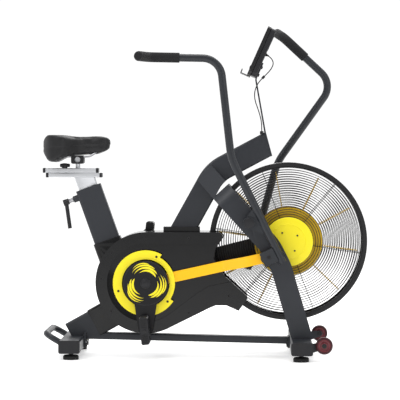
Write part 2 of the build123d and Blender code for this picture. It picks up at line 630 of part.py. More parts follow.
# cage caps: a dished one on the right and a flat one inside the left grille
cap_right = disc(FAN_X, FAN_Z, CAGE_CAP_R, -1, CAP_IN_Y, CAP_OUT_Y)
cap_edge = cap_right.edges().filter_by(GeomType.CIRCLE).sort_by(Axis.Y)[0]
cap_right = fillet([cap_edge], 5.0)
cap_right = cap_right - disc(FAN_X, FAN_Z, CAGE_CAP_R - SHEET_T, -1, 0.0, CAP_OUT_Y - SHEET_T)
for foot in plate_feet:
    cap_right = cap_right - disc(*foot, 16.0 + CLEAR, -1, 0.0, leg_face_in)
cap_posts = []
for turn in range(4):
    post = along(FAN_X, FAN_Z, -55.0 + 90.0 * turn, 42.0)
    cap_posts.append(disc(*post, 4.0, -1, CAGE_FLAT_Y, CAP_OUT_Y - SHEET_T) - near_plate)
cap_left = disc(FAN_X, FAN_Z, CAGE_CAP_R, 1, CAGE_FLAT_Y - WIRE - 4.0, CAGE_FLAT_Y - WIRE)
cap_left = cap_left - disc(FAN_X, FAN_Z, FAN_SHAFT_R + 4.0, 1, 0.0, 100.0)

# ---------------------------------------------------------------- side casing
RECESS = 8.0
COLLAR = 5.0
CAGE_GAP = 2.0                      # between the casing and the fan cage
casing_top = CRANK_Z + CASING_R
underside_angle = -61.7             # where the underside meets the lobe
CASING_LINE = [
    (60.0, casing_top), (75.0, 463.0), (44.0, 418.0), (36.0, 380.0), (80.0, 311.0), (113.0, 282.0),
    (165.0, 235.0), (167.0, 225.0), (133.0, 177.5), (87.0, 198.5), (45.0, 199.0), (23.0, 190.0),
]
casing_tail = outline([(CRANK_X, casing_top), *CASING_LINE, along(*crank_point, underside_angle, CASING_R),
                       crank_point])
casing_face = casing_tail + Pos(*crank_point) * Circle(CASING_R)
room_face = offset(casing_face, amount=-SHEET_T)
RECESS_LINE = [(-12.0, CRANK_Z + PANEL_R), (80.0, 450.0), (200.0, 440.0), (200.0, 300.0), (98.0, 289.0),
               (18.0, 272.6), (-24.5, 247.0)]
recess_tail = outline([(CRANK_X, CRANK_Z + PANEL_R), *RECESS_LINE, along(*crank_point, -50.0, PANEL_R),
                       crank_point])
recess_face = recess_tail + Pos(*crank_point) * Circle(PANEL_R)
back_face = offset(recess_face, amount=SHEET_T)
panel_y = CASING_FACE_Y - RECESS

# the room that each tube needs in the casing, and the moulded collars round the tubes
wide = TUBE_W + 2 * CLEAR
tube_room = box_tube(main_path, MAIN_TUBE_D + 2 * CLEAR, width=wide)[1]
tube_room = tube_room + box_tube(seat_path, SEAT_TUBE_D + 2 * CLEAR, width=wide)[1]
tube_room = tube_room + box_tube(Line(at(strut_low), at(strut_high)), STRUT_D + 2 * CLEAR, width=wide)[1]
collar_w = wide + 2 * COLLAR
seat_collar_top = along(*SEAT_TOP, SEAT_DOWN, 218.0)
seat_collar = box_tube(Line(at(seat_collar_top), at(along(*SEAT_TOP, SEAT_DOWN, 300.0))),
                       SEAT_TUBE_D + 2 * COLLAR, width=collar_w)[1]
STRUT_COLLAR = (26.0, 110.0)        # the collar's ends along the strut
strut_collar_ends = [at(along(*STRUT_FOOT, STRUT_ANGLE, distance)) for distance in STRUT_COLLAR]
strut_collar_line = Line(*strut_collar_ends)
strut_collar = box_tube(strut_collar_line, STRUT_D + 2 * COLLAR, width=collar_w)[1]
main_collar = block(-160.0, -18.0, -collar_w / 2, collar_w / 2, casing_top - 6.0, casing_top + 19.0)
casing_halves = {}
for name, side in SIDES.items():
    outer = side_slab(casing_face, side, 0.0, CASING_FACE_Y)
    outer = outer - side_slab(recess_face, side, panel_y, CASING_FACE_Y + 1.0)
    outer = outer - disc(FAN_X, FAN_Z, CAGE_R + CAGE_GAP, side, 0.0, CAGE_FLAT_Y + CAGE_GAP)
    room = side_slab(room_face, side, 0.0, CASING_FACE_Y - SHEET_T)
    room = room - side_slab(back_face, side, panel_y - SHEET_T, CASING_FACE_Y)
    room = room - disc(FAN_X, FAN_Z, CAGE_R + CAGE_GAP + SHEET_T, side, 0.0, CAGE_FLAT_Y + CAGE_GAP + SHEET_T)
    half_space = block(-700, 700, *sorted((0.0, side * 100.0)), 0, 700)
    collars = (seat_collar + strut_collar + main_collar) & half_space
    collars = collars - side_slab(room_face, side, 0.0, 200.0)
    shell = (outer + collars) - room - tube_room
    shell = shell - disc(*crank_point, AXLE_HOLE_R, side, 0.0, CASING_FACE_Y)
    if name == "left":
        shell = shell - slab(guard_face(SHEET_T + CLEAR), GUARD_IN_Y - CLEAR, GUARD_OUT_Y + CLEAR)
    casing_halves[name] = largest(shell - rail_body - bottom_bracket)

# ring covers on standoffs, in front of the rods
RING_STUD_R = 5.0
RING_SCREW_R = 110.0
RING_SCREWS = [68.0, -40.0, 196.0]
ring_in_y = ROD_REAR_Y + ROD_T / 2 + 3.0
NOTCH_EDGE = 7.0                    # degrees between a screw and the start of the narrow stretch
NOTCH_STEPS = 6
notch_start = RING_SCREWS[1] + NOTCH_EDGE
notch_step = (RING_SCREWS[0] - NOTCH_EDGE - notch_start) / NOTCH_STEPS
notch = [crank_point]
for step in range(NOTCH_STEPS + 1):
    notch.append(along(*crank_point, notch_start + step * notch_step, RING_OUT_R * 1.3))
ring_face = Pos(*crank_point) * (Circle(RING_OUT_R) - Circle(RING_IN_R))
ring_face = ring_face - (outline(notch) - Pos(*crank_point) * Circle(RING_CUT_R))
ring_covers = []
ring_studs = []
ring_screws = []
for name, side in SIDES.items():
    ring_covers.append(side_slab(ring_face, side, ring_in_y, ring_in_y + RING_T))
    for angle in RING_SCREWS:
        spot = along(*crank_point, angle, RING_SCREW_R)
        ring_studs.append(disc(*spot, RING_STUD_R, side, panel_y, ring_in_y))
        ring_screws.append(disc(*spot, RING_STUD_R, side, ring_in_y + RING_T, ring_in_y + RING_T + 1.5))

# ---------------------------------------------------------------- swing arms and link rods
ARM_LINE = [(302.0, 370.0), (104.5, 767.5), (62.0, 1147.0), (-207.0, 1152.0)]
GRIP_END_X = -244.0
GRIP_OVERLAP = 70.0                 # length of grip before the handle's outward bend
GRIP_END_WALL = 5.0
HANDLE_BEND_R = 45.0
ARM_LOWER_BEND_R = 220.0
ARM_WALL = 2.5
arm_hub_in = LEG_Y + TUBE_W / 2 + 4.0
arm_hub_out = PIN_TIP_Y - 0.5
rod_front_in = ROD_FRONT_Y - ROD_T / 2
rod_front_out = ROD_FRONT_Y + ROD_T / 2
arm_block_in = rod_front_out + 2.0


def arm_path(tip_y):
    """The right arm's centre line at rest, its handle turning outwards to |y| tip_y."""
    points = [(x, -ARM_Y, z) for x, z in ARM_LINE]
    reach = (tip_y - ARM_Y) / (GRIP_END_Y - ARM_Y)
    tip_x = ARM_LINE[-1][0] + (GRIP_END_X - ARM_LINE[-1][0]) * reach
    points.append((tip_x, -tip_y, ARM_LINE[-1][1]))
    return FilletPolyline(*points, radius=[ARM_LOWER_BEND_R, ARM_BEND_R, HANDLE_BEND_R])


def grip_path():
    """The stretch of the handle under the grip, and a little past the tube's end."""
    corner = (ARM_LINE[-1][0], -ARM_Y, ARM_LINE[-1][1])
    back = towards(ARM_LINE[-1], ARM_LINE[-2], HANDLE_BEND_R + GRIP_OVERLAP)
    return FilletPolyline((back[0], -ARM_Y, back[1]), corner, (GRIP_END_X, -GRIP_END_Y, ARM_LINE[-1][1]),
                          radius=HANDLE_BEND_R)


arm_bar = round_bar(arm_path(GRIP_END_Y - GRIP_END_WALL), ARM_R)
arm_bore = round_bar(arm_path(GRIP_END_Y - GRIP_END_WALL), ARM_R - ARM_WALL)
pivot = (PIVOT_X, PIVOT_Z)
gusset_high = towards(ARM_LINE[0], ARM_LINE[1], 235.0)
gusset_low = towards(ARM_LINE[0], ARM_LINE[1], 120.0)
gusset = make_hull([
    *(Pos(*pivot) * Circle(PIVOT_HUB_R)).edges(),
    *(Pos(*gusset_high) * Circle(4.0)).edges(),
    *(Pos(*gusset_low) * Circle(4.0)).edges(),
])
block_far = towards(ARM_LINE[0], ARM_LINE[1], 26.0)
block_face = make_hull([
    *(Pos(*ARM_PIN) * Circle(24.0)).edges(),
    *(Pos(*block_far) * Circle(20.0)).edges(),
])
right_arm = arm_bar + side_slab(gusset, -1, ARM_Y - 5.0, ARM_Y + 5.0)
right_arm = right_arm + disc(*pivot, PIVOT_HUB_R, -1, arm_hub_in, arm_hub_out)
right_arm = right_arm + side_slab(block_face, -1, arm_block_in, ARM_Y)
right_arm = right_arm - arm_bore
right_arm = right_arm + disc(*ARM_PIN, ROD_PIN_R, -1, rod_front_in - 0.5, arm_block_in)
right_arm = right_arm - disc(*pivot, PIVOT_PIN_R + FIT, -1, arm_hub_in, arm_hub_out)
right_arm = largest(right_arm)
right_grip = fillet(round_bar(grip_path(), GRIP_R).faces().sort_by(Axis.Y)[0].edges(), 8.0) - arm_bar

ROD_BEND = [254.0, 346.0]           # where the rod steps outwards, measured from its rear eye
ROD_BEND_R = 40.0
ROD_FRONT_END = ROD_H / 2
rod_plan_line = FilletPolyline(
    (-ROD_H / 2, -ROD_REAR_Y), (ROD_BEND[0], -ROD_REAR_Y), (ROD_BEND[1], -ROD_FRONT_Y),
    (rod_length + ROD_FRONT_END, -ROD_FRONT_Y), radius=ROD_BEND_R)
rod_band = extrude(Plane.XY * trace(rod_plan_line, ROD_T), amount=ROD_H, both=True)
rod_side = slab(Pos(rod_length / 2, 0) * SlotCenterToCenter(rod_length, ROD_H), -ROD_FRONT_Y * 2, 0.0)
rod_straight = rod_band & rod_side
rod_straight = rod_straight - rod_y(0.0, 0.0, JOURNAL_R + FIT, -ROD_FRONT_Y * 2, 0.0)
rod_straight = rod_straight - rod_y(rod_length, 0.0, ROD_PIN_R + FIT, -ROD_FRONT_Y * 2, 0.0)
rod_straight = largest(rod_straight)


def rod_at(eye, pin):
    """The right rod laid from its rear eye to its front pin."""
    tilt = math.degrees(math.atan2(pin[1] - eye[1], pin[0] - eye[0]))
    return Pos(eye[0], 0, eye[1]) * Rot(0, -tilt, 0) * rod_straight


def to_left(solid, angle):
    """The left copy of a right-hand piece on the arm, swung forwards."""
    return mirror(solid, Plane.XZ).rotate(Axis((PIVOT_X, 0, PIVOT_Z), (0, 1, 0)), angle)


left_arm = to_left(right_arm, ARM_SWING)
left_grip = to_left(right_grip, ARM_SWING)
right_rod = rod_at(rod_eye_rest["right"], arm_pin_rest["right"])
left_rod = mirror(rod_at(rod_eye_rest["left"], arm_pin_rest["left"]), Plane.XZ)

# ---------------------------------------------------------------- seat
BAR_LOW_X = (-619.0, -399.0)        # bar welded on the seat post
BAR_Z = 692.6
BAR_H = 17.0
BAR_W = 42.0
SLIDER_X = (-631.0, -413.0)
SLIDER_H = 18.0
SLOT_W = 11.0
KNOB_X = -547.0
KNOB_R = 22.0
KNOB_H = 18.0
KNOB_BOLT_R = 4.0
CLAMP_X = -495.0
CLAMP_Z = 761.0
CLAMP_PIN_R = 11.0
CLAMP_W = 56.0
SADDLE_X = (-633.0, -361.5)
SADDLE_REAR_W = 118.0               # half width
SADDLE_NOSE_W = 28.0
RAIL_R = 3.5
SADDLE_RAIL_Y = 22.0
POST_HIDDEN = 120.0                 # part of the post that stays in the tube when it is raised
bar_top = BAR_Z + BAR_H
slider_low = bar_top + JOIN_GAP
slider_top = slider_low + SLIDER_H

post_length = POST_RISE + SEAT_TRAVEL + POST_HIDDEN
seat_post = seat_section(POST_W, POST_D, -POST_RISE, post_length, POST_CORNER)
seat_post = seat_post - seat_section(POST_W - 2 * POST_WALL, POST_D - 2 * POST_WALL, -POST_RISE, post_length,
                                     POST_CORNER - POST_WALL)
seat_post = seat_post - block(*BAR_LOW_X, -POST_D, POST_D, BAR_Z, BAR_Z + 2 * POST_RISE)
post_bar = block(*BAR_LOW_X, -BAR_W / 2, BAR_W / 2, BAR_Z, bar_top)
post_bar = fillet(post_bar.edges().filter_by(Axis.X), 2.5)
bar_slot = block(KNOB_X - SLIDER_TRAVEL - KNOB_BOLT_R - 1.0, KNOB_X + SLIDER_TRAVEL + KNOB_BOLT_R + 1.0,
                 -SLOT_W / 2, SLOT_W / 2, BAR_Z + 4.0, bar_top)
seat_post = largest(seat_post + (post_bar - bar_slot))

slider = block(*SLIDER_X, -BAR_W / 2, BAR_W / 2, slider_low, slider_top)
slider = fillet(slider.edges().filter_by(Axis.X), 2.5)
knob_bolt = post_z(KNOB_X, 0.0, KNOB_BOLT_R, bar_top - 8.0, slider_top + 6.0)
slider = slider - post_z(KNOB_X, 0.0, KNOB_BOLT_R + FIT, slider_low - 1.0, slider_top + 1.0)
slider = slider + post_z(CLAMP_X, 0.0, 9.0, slider_top - 1.0, CLAMP_Z)
clamp_pin_y = SADDLE_RAIL_Y - RAIL_R - 2.0
slider = slider + rod_y(CLAMP_X, CLAMP_Z, CLAMP_PIN_R, -clamp_pin_y, clamp_pin_y)

knob_z = slider_top + 4.0
knob = post_z(KNOB_X, 0.0, KNOB_R * 0.5, slider_top + JOIN_GAP, knob_z)
knob = knob + post_z(KNOB_X, 0.0, KNOB_R * 0.82, knob_z, slider_top + KNOB_H)
for turn in range(5):
    lobe = math.radians(72.0 * turn)
    knob = knob + post_z(KNOB_X + KNOB_R * 0.72 * math.cos(lobe), KNOB_R * 0.72 * math.sin(lobe),
                         KNOB_R * 0.3, knob_z, slider_top + KNOB_H)
knob = knob + knob_bolt

clamp_half_x = 25.0
saddle_clamp = block(CLAMP_X - clamp_half_x, CLAMP_X + clamp_half_x, -CLAMP_W / 2, CLAMP_W / 2,
                     CLAMP_Z - 16.0, CLAMP_Z + 17.0)
saddle_clamp = fillet(saddle_clamp.edges().filter_by(Axis.Y), 8.0)
saddle_clamp = saddle_clamp - rod_y(CLAMP_X, CLAMP_Z, CLAMP_PIN_R + FIT, -CLAMP_W, CLAMP_W)
saddle_clamp = saddle_clamp - block(CLAMP_X - 13.0, CLAMP_X + 13.0, -10.0, 10.0, CLAMP_Z - 30.0, CLAMP_Z)
rail_line = FilletPolyline((-585.0, 0, 792.0), (-548.0, 0, CLAMP_Z + 11.5), (-450.0, 0, CLAMP_Z + 11.5),
                           (-408.0, 0, 800.0), radius=20.0)
rail = round_bar(rail_line, RAIL_R)
rails = [Pos(0, side * SADDLE_RAIL_Y, 0) * rail for side in SIDES.values()]
saddle_clamp = largest(saddle_clamp - rails[0] - rails[1])

saddle_side = make_face([
    Spline((-625.0, 842.0), (-610.0, 856.0), (-585.0, 857.0), (-545.0, 851.0), (-500.0, 845.0),
           (-450.0, 846.0), (-400.0, 848.0), (-372.0, 843.0), (-361.5, 826.0)),
    Polyline((-361.5, 826.0), (-368.0, 800.0), (-390.0, 790.0), (-468.0, 786.0), (-520.0, 784.0),
             (-560.0, 767.0), (-582.0, 751.0), (-604.0, 755.0), (-626.0, 790.0), (-625.0, 842.0)),
])
saddle_plan = make_face(Spline(
    (SADDLE_X[0], 0.0), (-618.0, 70.0), (-588.0, 108.0), (-556.0, SADDLE_REAR_W), (-520.0, 92.0),
    (-480.0, 50.0), (-430.0, 33.0), (-385.0, SADDLE_NOSE_W), (SADDLE_X[1], 0.0),
    (-385.0, -SADDLE_NOSE_W), (-430.0, -33.0), (-480.0, -50.0), (-520.0, -92.0),
    (-556.0, -SADDLE_REAR_W), (-588.0, -108.0), (-618.0, -70.0), periodic=True))
saddle = slab(saddle_side, -140.0, 140.0) & extrude(Plane.XY.offset(700.0) * saddle_plan, amount=200.0)
saddle = largest(saddle)
rails = [largest(item - saddle) for item in rails]

LEVER_HUB = (90.0, 112.0)           # hub's distances from the seat tube's centre line
LEVER_HUB_R = 12.0
LEVER_L = 103.0
lever = on_stud(LEVER_STUD_R, POST_D / 2 + CLEAR + 0.5, LEVER_HUB[0]) + on_stud(LEVER_HUB_R, *LEVER_HUB)
hub_mid = sum(LEVER_HUB) / 2
lever_turn = math.radians(SEAT_TUBE_ANGLE)
lever_start = (stud_root[0] - hub_mid * math.sin(lever_turn), stud_root[1] - hub_mid * math.cos(lever_turn))
lever_tip = along(*lever_start, -82.0, LEVER_L)
lever_arm = box_tube(Line(at(lever_start), at(lever_tip)), 15.0, width=15.0, corner=6.0)[1]
seat_lever = lever + lever_arm

# ---------------------------------------------------------------- console
SCREEN_T = 2.0
FRONT_T = 14.0
BUTTON_OUT = 2.5
BUTTON_L = 8.5
BUTTON_ROOM = 8.0                   # depth of a button's hole, with its travel
SHELF_T = 3.0
SHELF_OUT = 27.0
SHELF_LIP = 15.0
console_plane = Plane(
    origin=at(CONSOLE_LOW),
    x_dir=(math.cos(math.radians(CONSOLE_TILT)), 0, math.sin(math.radians(CONSOLE_TILT))),
    z_dir=(-math.sin(math.radians(CONSOLE_TILT)), 0, math.cos(math.radians(CONSOLE_TILT))))


def console_box(up_low, up_high, half_width, out_low, out_high, corner=0.0):
    """A block on the console: along its face, half across, and out of its face."""
    middle = Pos((up_low + up_high) / 2, 0)
    shape = Rectangle(up_high - up_low, 2 * half_width)
    if corner:
        shape = RectangleRounded(up_high - up_low, 2 * half_width, corner)
    return extrude(console_plane.offset(out_low) * middle * shape, amount=out_high - out_low)


console_housing = console_box(3.0, CONSOLE_L - 3.0, CONSOLE_W / 2 - 3.0, -CONSOLE_T, -FRONT_T, 18.0)
console_front = console_box(0.0, CONSOLE_L, CONSOLE_W / 2, -FRONT_T, 0.0, 20.0)
screen_room = console_box(62.0, CONSOLE_L - 24.0, CONSOLE_W / 2 - 20.0, -SCREEN_T, 1.0, 5.0)
console_front = console_front - screen_room
console_screen = console_box(62.0, CONSOLE_L - 24.0, CONSOLE_W / 2 - 20.0, -SCREEN_T, 0.0, 5.0)
BUTTON_UP = 34.0
button_spots = [-36.0, 0.0, 36.0]
buttons = []
for spot in button_spots:
    centre = Pos(BUTTON_UP, spot)
    button_floor = console_plane.offset(-BUTTON_ROOM)
    button_hole = extrude(button_floor * centre * Circle(BUTTON_R + FIT), amount=FRONT_T)
    console_front = console_front - button_hole
    button_foot = console_plane.offset(BUTTON_OUT - BUTTON_L)
    buttons.append(extrude(button_foot * centre * Circle(BUTTON_R), amount=BUTTON_L))
shelf_plate = console_box(-SHELF_T, 0.0, CONSOLE_W / 2 - 20.0, -FRONT_T, SHELF_OUT)
shelf_lip = console_box(-SHELF_T, SHELF_LIP, CONSOLE_W / 2 - 20.0, SHELF_OUT - SHELF_T, SHELF_OUT)
tablet_shelf = shelf_plate + shelf_lip

# sensor cable: from the console's back down beside the plate and into the main tube
CABLE_Y = -32.0
GLAND_T = 12.0
jack_up = 101.0
jack_low = along(*CONSOLE_LOW, CONSOLE_TILT, jack_up)
cable_exit = along(*jack_low, CONSOLE_TILT - 90.0, CONSOLE_T)
jack_out = along(*cable_exit, CONSOLE_TILT - 90.0, 20.0)
CABLE_POINTS = [
    (*cable_exit, CABLE_Y), (*jack_out, CABLE_Y), (269.0, 1136.0, CABLE_Y), (258.0, 1111.0, CABLE_Y - 2.0),
    (238.0, 1090.0, CABLE_Y - 1.0), (217.0, 1070.0, CABLE_Y), (201.0, 1047.0, CABLE_Y),
    (193.0, 1018.0, CABLE_Y - 2.0), (196.0, 989.0, CABLE_Y - 3.0), (206.0, 962.0, CABLE_Y - 2.0),
    (215.0, 934.0, CABLE_Y - 1.0), (222.0, 903.0, CABLE_Y), (222.0, 872.0, CABLE_Y),
]
cable_points = [(x, y, z) for x, z, y in CABLE_POINTS]


def corner_radii(points):
    """The radius of each arc of a cord's tube, as large as its two runs allow."""
    radii = []
    for before, here, after in zip(points, points[1:], points[2:]):
        run_in = Vector(*here) - Vector(*before)
        run_out = Vector(*after) - Vector(*here)
        half_turn = math.radians(run_in.get_angle(run_out)) / 2
        radii.append(0.45 * min(run_in.length, run_out.length) / math.tan(half_turn))
    return radii


cable_radii = corner_radii(cable_points)
print("cable radii", [round(value) for value in cable_radii])
cable_path = FilletPolyline(*cable_points, radius=cable_radii)
sensor_cable = round_bar(cable_path, CABLE_R)
print("cable length", round(cable_path.length, 1))
cable_section = math.pi * CABLE_R ** 2
print("cable volume over section times length", sensor_cable.volume / (cable_section * cable_path.length))
plug_low = Vector(*cable_points[4]) * 0.3 + Vector(*cable_points[5]) * 0.7
plug_high = Vector(*cable_points[4]) * 0.75 + Vector(*cable_points[5]) * 0.25
plug = round_bar(Line(plug_high, plug_low), CABLE_R + 3.0) - round_bar(cable_path, CABLE_R + FIT)
gland_x, gland_y, gland_z = cable_points[-1]
gland = block(gland_x - 7.0, gland_x + 7.0, gland_y - 7.0, -TUBE_W / 2, gland_z - GLAND_T, gland_z)

# ---------------------------------------------------------------- wheels, feet, caps and fasteners
TYRE_T = 9.0
PIN_HEAD_T = 4.0
wheels = {}
wheel_pins = []
for name, side in SIDES.items():
    near = WHEEL_Y - WHEEL_W / 2
    far = WHEEL_Y + WHEEL_W / 2
    hub = disc(WHEEL_X, WHEEL_Z, WHEEL_R - TYRE_T, side, near, far)
    tyre = disc(WHEEL_X, WHEEL_Z, WHEEL_R, side, near, far) - hub
    hub = hub - disc(WHEEL_X, WHEEL_Z, WHEEL_PIN_R + FIT, side, near, far)
    wheels[name] = [tyre, hub]
    pin_near_y = wheel_near_y - WHEEL_PLATE_T
    wheel_pins.append(disc(WHEEL_X, WHEEL_Z, WHEEL_PIN_R, side, pin_near_y, wheel_far_y))
    for near, far in ((pin_near_y - PIN_HEAD_T, pin_near_y), (wheel_far_y, wheel_far_y + PIN_HEAD_T)):
        wheel_pins.append(disc(WHEEL_X, WHEEL_Z, WHEEL_PIN_R + 4.0, side, near, far))

feet = []
foot_nuts = []
nut_low = STABILIZER_Z - NUT_T
for end, side in (("rear", -1), ("rear", 1), ("front", -1), ("front", 1)):
    x, y = FOOT_X[end], side * FOOT_Y[end]
    pad = post_z(x, y, FOOT_R, 0.0, FOOT_H)
    pad = chamfer(pad.edges().sort_by(Axis.Z)[-1], 4.0)
    feet.append(pad + post_z(x, y, FOOT_STEM_R, FOOT_H, STABILIZER_Z + 30.0))
    nut = extrude(Plane.XY.offset(nut_low) * Pos(x, y) * RegularPolygon(FOOT_STEM_R * 1.9, 6), amount=NUT_T)
    foot_nuts.append(nut - post_z(x, y, FOOT_STEM_R + FIT, 0.0, 200.0))
    stem_hole = post_z(x, y, FOOT_STEM_R + FIT, 0.0, STABILIZER_Z + STABILIZER_H / 2)
    if end == "rear":
        rear_stabilizer = rear_stabilizer - stem_hole
    else:
        front_stabilizer = front_stabilizer - stem_hole

end_caps = []
for x, length in ((REAR_STABILIZER_X, REAR_STABILIZER_L), (FRONT_STABILIZER_X, FRONT_STABILIZER_L)):
    centre = Pos(x, STABILIZER_Z + STABILIZER_H / 2)
    for side in SIDES.values():
        plate = side_slab(centre * RectangleRounded(STABILIZER_D, STABILIZER_H, TUBE_CORNER), side,
                          length / 2 - CAP_T, length / 2)
        plug_face = centre * RectangleRounded(STABILIZER_D - 2 * TUBE_WALL, STABILIZER_H - 2 * TUBE_WALL,
                                              TUBE_CORNER - TUBE_WALL)
        end_caps.append(plate + side_slab(plug_face, side, length / 2 - CAP_T - 15.0, length / 2 - CAP_T))

HEAD_R = 8.0
HEAD_T = 5.0
bolts = []
for x_low, x_high in ((rail_start + FLANGE_T, rail_start + FLANGE_T + HEAD_T),
                      (rail_stop - FLANGE_T - HEAD_T, rail_stop - FLANGE_T)):
    for side in SIDES.values():
        for z in (STABILIZER_Z + 15.0, stabilizer_top - 15.0):
            centre = Plane(origin=(x_low, side * (FLANGE_W / 2 - 10.0), z), z_dir=(1, 0, 0))
            bolts.append(extrude(centre * RegularPolygon(HEAD_R, 6), amount=x_high - x_low))
pin_caps = [disc(*pivot, PIN_CAP_R, side, PIN_TIP_Y, PIN_TIP_Y + 4.0) for side in SIDES.values()]
console_bolts = []
for up in (18.0, 50.0):
    spot = along(*bracket_top, CONSOLE_TILT, up)
    centre = Plane(origin=at(along(*spot, CONSOLE_TILT - 90.0, PLATE_T / 2)),
                   z_dir=(math.sin(math.radians(CONSOLE_TILT)), 0, -math.cos(math.radians(CONSOLE_TILT))))
    console_bolts.append(extrude(centre * Circle(HEAD_R - 2.0), amount=4.0))
cap_screws = []
for turn in range(4):
    spot = along(FAN_X, FAN_Z, -55.0 + 90.0 * turn, 42.0)
    cap_screws.append(disc(*spot, 3.5, -1, CAP_OUT_Y, CAP_OUT_Y + 1.5))
casing_screws = []
CASING_SCREW_SPOTS = [(-225.0, 459.0), (-60.0, 459.0), (-360.0, 400.0), (-398.0, 300.0), (-360.0, 175.0),
                      (-60.0, 170.0), (95.0, 235.0)]
for side in SIDES.values():
    for spot in CASING_SCREW_SPOTS:
        casing_screws.append(disc(*spot, 4.5, side, CASING_FACE_Y, CASING_FACE_Y + 2.0))

# ---------------------------------------------------------------- nodes
keep("rear_stabilizer", rear_stabilizer)
keep("front_stabilizer", front_stabilizer)
keep("stabilizer_end_caps", *end_caps)
keep("base_rail", base_rail)
keep("rear_strut", strut_tube)
keep("seat_tube", seat_tube, sleeve)
keep("bottom_bracket", bottom_bracket, *bearings)
keep("main_tube", main_tube)
keep("fork_leg_right", legs["right"])
keep("fork_leg_left", legs["left"])
keep("fan_bearing_plates", near_plate, far_plate)
keep("casing_right", casing_halves["right"])
keep("casing_left", casing_halves["left"])
keep("ring_covers", *ring_covers)
keep("cage_rim", cage_rim)
keep("cage_grilles", right_grille, left_grille)
keep("cage_caps", cap_right, cap_left)
keep("belt_guard", belt_guard)
keep("drive_belts", belt_1, belt_2)
keep("jackshaft_bracket", jackshaft_bracket)
keep("console_bracket", console_bracket)
keep("console_housing", console_housing)
keep("console_front", console_front)
keep("console_screen", console_screen)
keep("tablet_shelf", tablet_shelf)
keep("sensor_cable", sensor_cable)
keep("cable_fittings", plug, gland)
keep("rear_handle", rear_handle)
keep("frame_fasteners", *bolts, *foot_nuts, *wheel_pins, *pin_caps, *console_bolts, *cap_posts, *cap_screws,
     *casing_screws, *ring_studs, *ring_screws)
keep("crank_axle", axle, *webs)
keep("crank_arm_right", *crank_arms["right"])
keep("crank_arm_left", *crank_arms["left"])
keep("crank_pulley", crank_pulley)
keep("pedal_right", pedals["right"])
keep("pedal_left", pedals["left"])
keep("jackshaft", jackshaft, jack_pulley_1, jack_pulley_2)
keep("fan_wheel", fan_wheel)
keep("fan_blades", *blades)
keep("fan_pulley", fan_pulley)
keep("swing_arm_right", right_arm)
keep("swing_arm_left", left_arm)
keep("grip_right", right_grip)
keep("grip_left", left_grip)
keep("link_rod_right", right_rod)
keep("link_rod_left", left_rod)
keep("wheel_right", *wheels["right"])
keep("wheel_left", *wheels["left"])
keep("seat_post", seat_post)
keep("seat_slider", slider)
keep("slide_knob", knob)
keep("saddle_clamp", saddle_clamp)
keep("saddle", saddle, *rails)
keep("seat_lever", seat_lever)
for number, foot in enumerate(feet, start=1):
    keep(f"leveling_foot_{number}", foot)
for number, button in enumerate(buttons, start=1):
    keep(f"console_button_{number}", button)

os.makedirs("parts", exist_ok=True)
for name, shape in parts.items():
    export_step(shape, f"parts/{name}.step")
whole = Compound(children=list(parts.values())).bounding_box()
print("nodes", len(parts), "size", whole.size, "low", whole.min, "high", whole.max)
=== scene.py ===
"""Visual model of an air bike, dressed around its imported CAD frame."""
from __future__ import annotations

import json
import logging
import math
from dataclasses import dataclass, field
from enum import Enum
from typing import Any, Callable, Iterable, Sequence

import bmesh
import bpy
from mathutils import Matrix, Vector

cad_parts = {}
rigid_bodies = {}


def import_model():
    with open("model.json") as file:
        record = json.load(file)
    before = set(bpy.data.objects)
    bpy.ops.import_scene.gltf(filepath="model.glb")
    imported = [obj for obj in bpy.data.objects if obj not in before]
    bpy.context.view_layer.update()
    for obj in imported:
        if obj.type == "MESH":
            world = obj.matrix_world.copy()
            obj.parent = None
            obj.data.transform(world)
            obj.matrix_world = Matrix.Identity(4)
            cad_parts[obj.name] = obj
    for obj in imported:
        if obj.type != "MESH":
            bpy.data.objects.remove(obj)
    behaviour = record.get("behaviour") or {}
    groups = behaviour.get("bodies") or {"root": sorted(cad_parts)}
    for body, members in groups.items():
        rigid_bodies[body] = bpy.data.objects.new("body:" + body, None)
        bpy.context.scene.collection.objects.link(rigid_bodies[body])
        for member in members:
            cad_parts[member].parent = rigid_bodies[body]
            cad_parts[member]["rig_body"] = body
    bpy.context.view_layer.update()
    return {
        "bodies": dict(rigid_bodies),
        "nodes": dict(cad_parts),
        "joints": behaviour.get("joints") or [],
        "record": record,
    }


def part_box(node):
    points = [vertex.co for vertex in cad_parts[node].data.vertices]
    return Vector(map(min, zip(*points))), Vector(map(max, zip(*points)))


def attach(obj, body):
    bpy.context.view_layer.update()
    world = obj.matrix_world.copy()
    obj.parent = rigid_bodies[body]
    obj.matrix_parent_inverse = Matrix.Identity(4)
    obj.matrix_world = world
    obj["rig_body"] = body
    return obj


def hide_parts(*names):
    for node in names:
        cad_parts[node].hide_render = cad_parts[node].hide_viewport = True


LOG = logging.getLogger("air_bike")
Colour = tuple[float, float, float]
Point = tuple[float, float, float]
MM = 0.001


# ---------------------------------------------------------------- shader maths
class Expr:
    """A number on a shader socket, which Python's operators turn into Math nodes."""

    def __init__(self, graph: "Graph", socket: Any) -> None:
        """Wrap a socket of a graph."""
        self.graph = graph
        self.socket = socket

    def __add__(self, other: Any) -> "Expr":
        """Sum."""
        return self.graph.maths("ADD", self, other)

    def __radd__(self, other: Any) -> "Expr":
        """Sum, reflected."""
        return self.graph.maths("ADD", other, self)

    def __sub__(self, other: Any) -> "Expr":
        """Difference."""
        return self.graph.maths("SUBTRACT", self, other)

    def __rsub__(self, other: Any) -> "Expr":
        """Difference, reflected."""
        return self.graph.maths("SUBTRACT", other, self)

    def __mul__(self, other: Any) -> "Expr":
        """Product."""
        return self.graph.maths("MULTIPLY", self, other)

    def __rmul__(self, other: Any) -> "Expr":
        """Product, reflected."""
        return self.graph.maths("MULTIPLY", other, self)


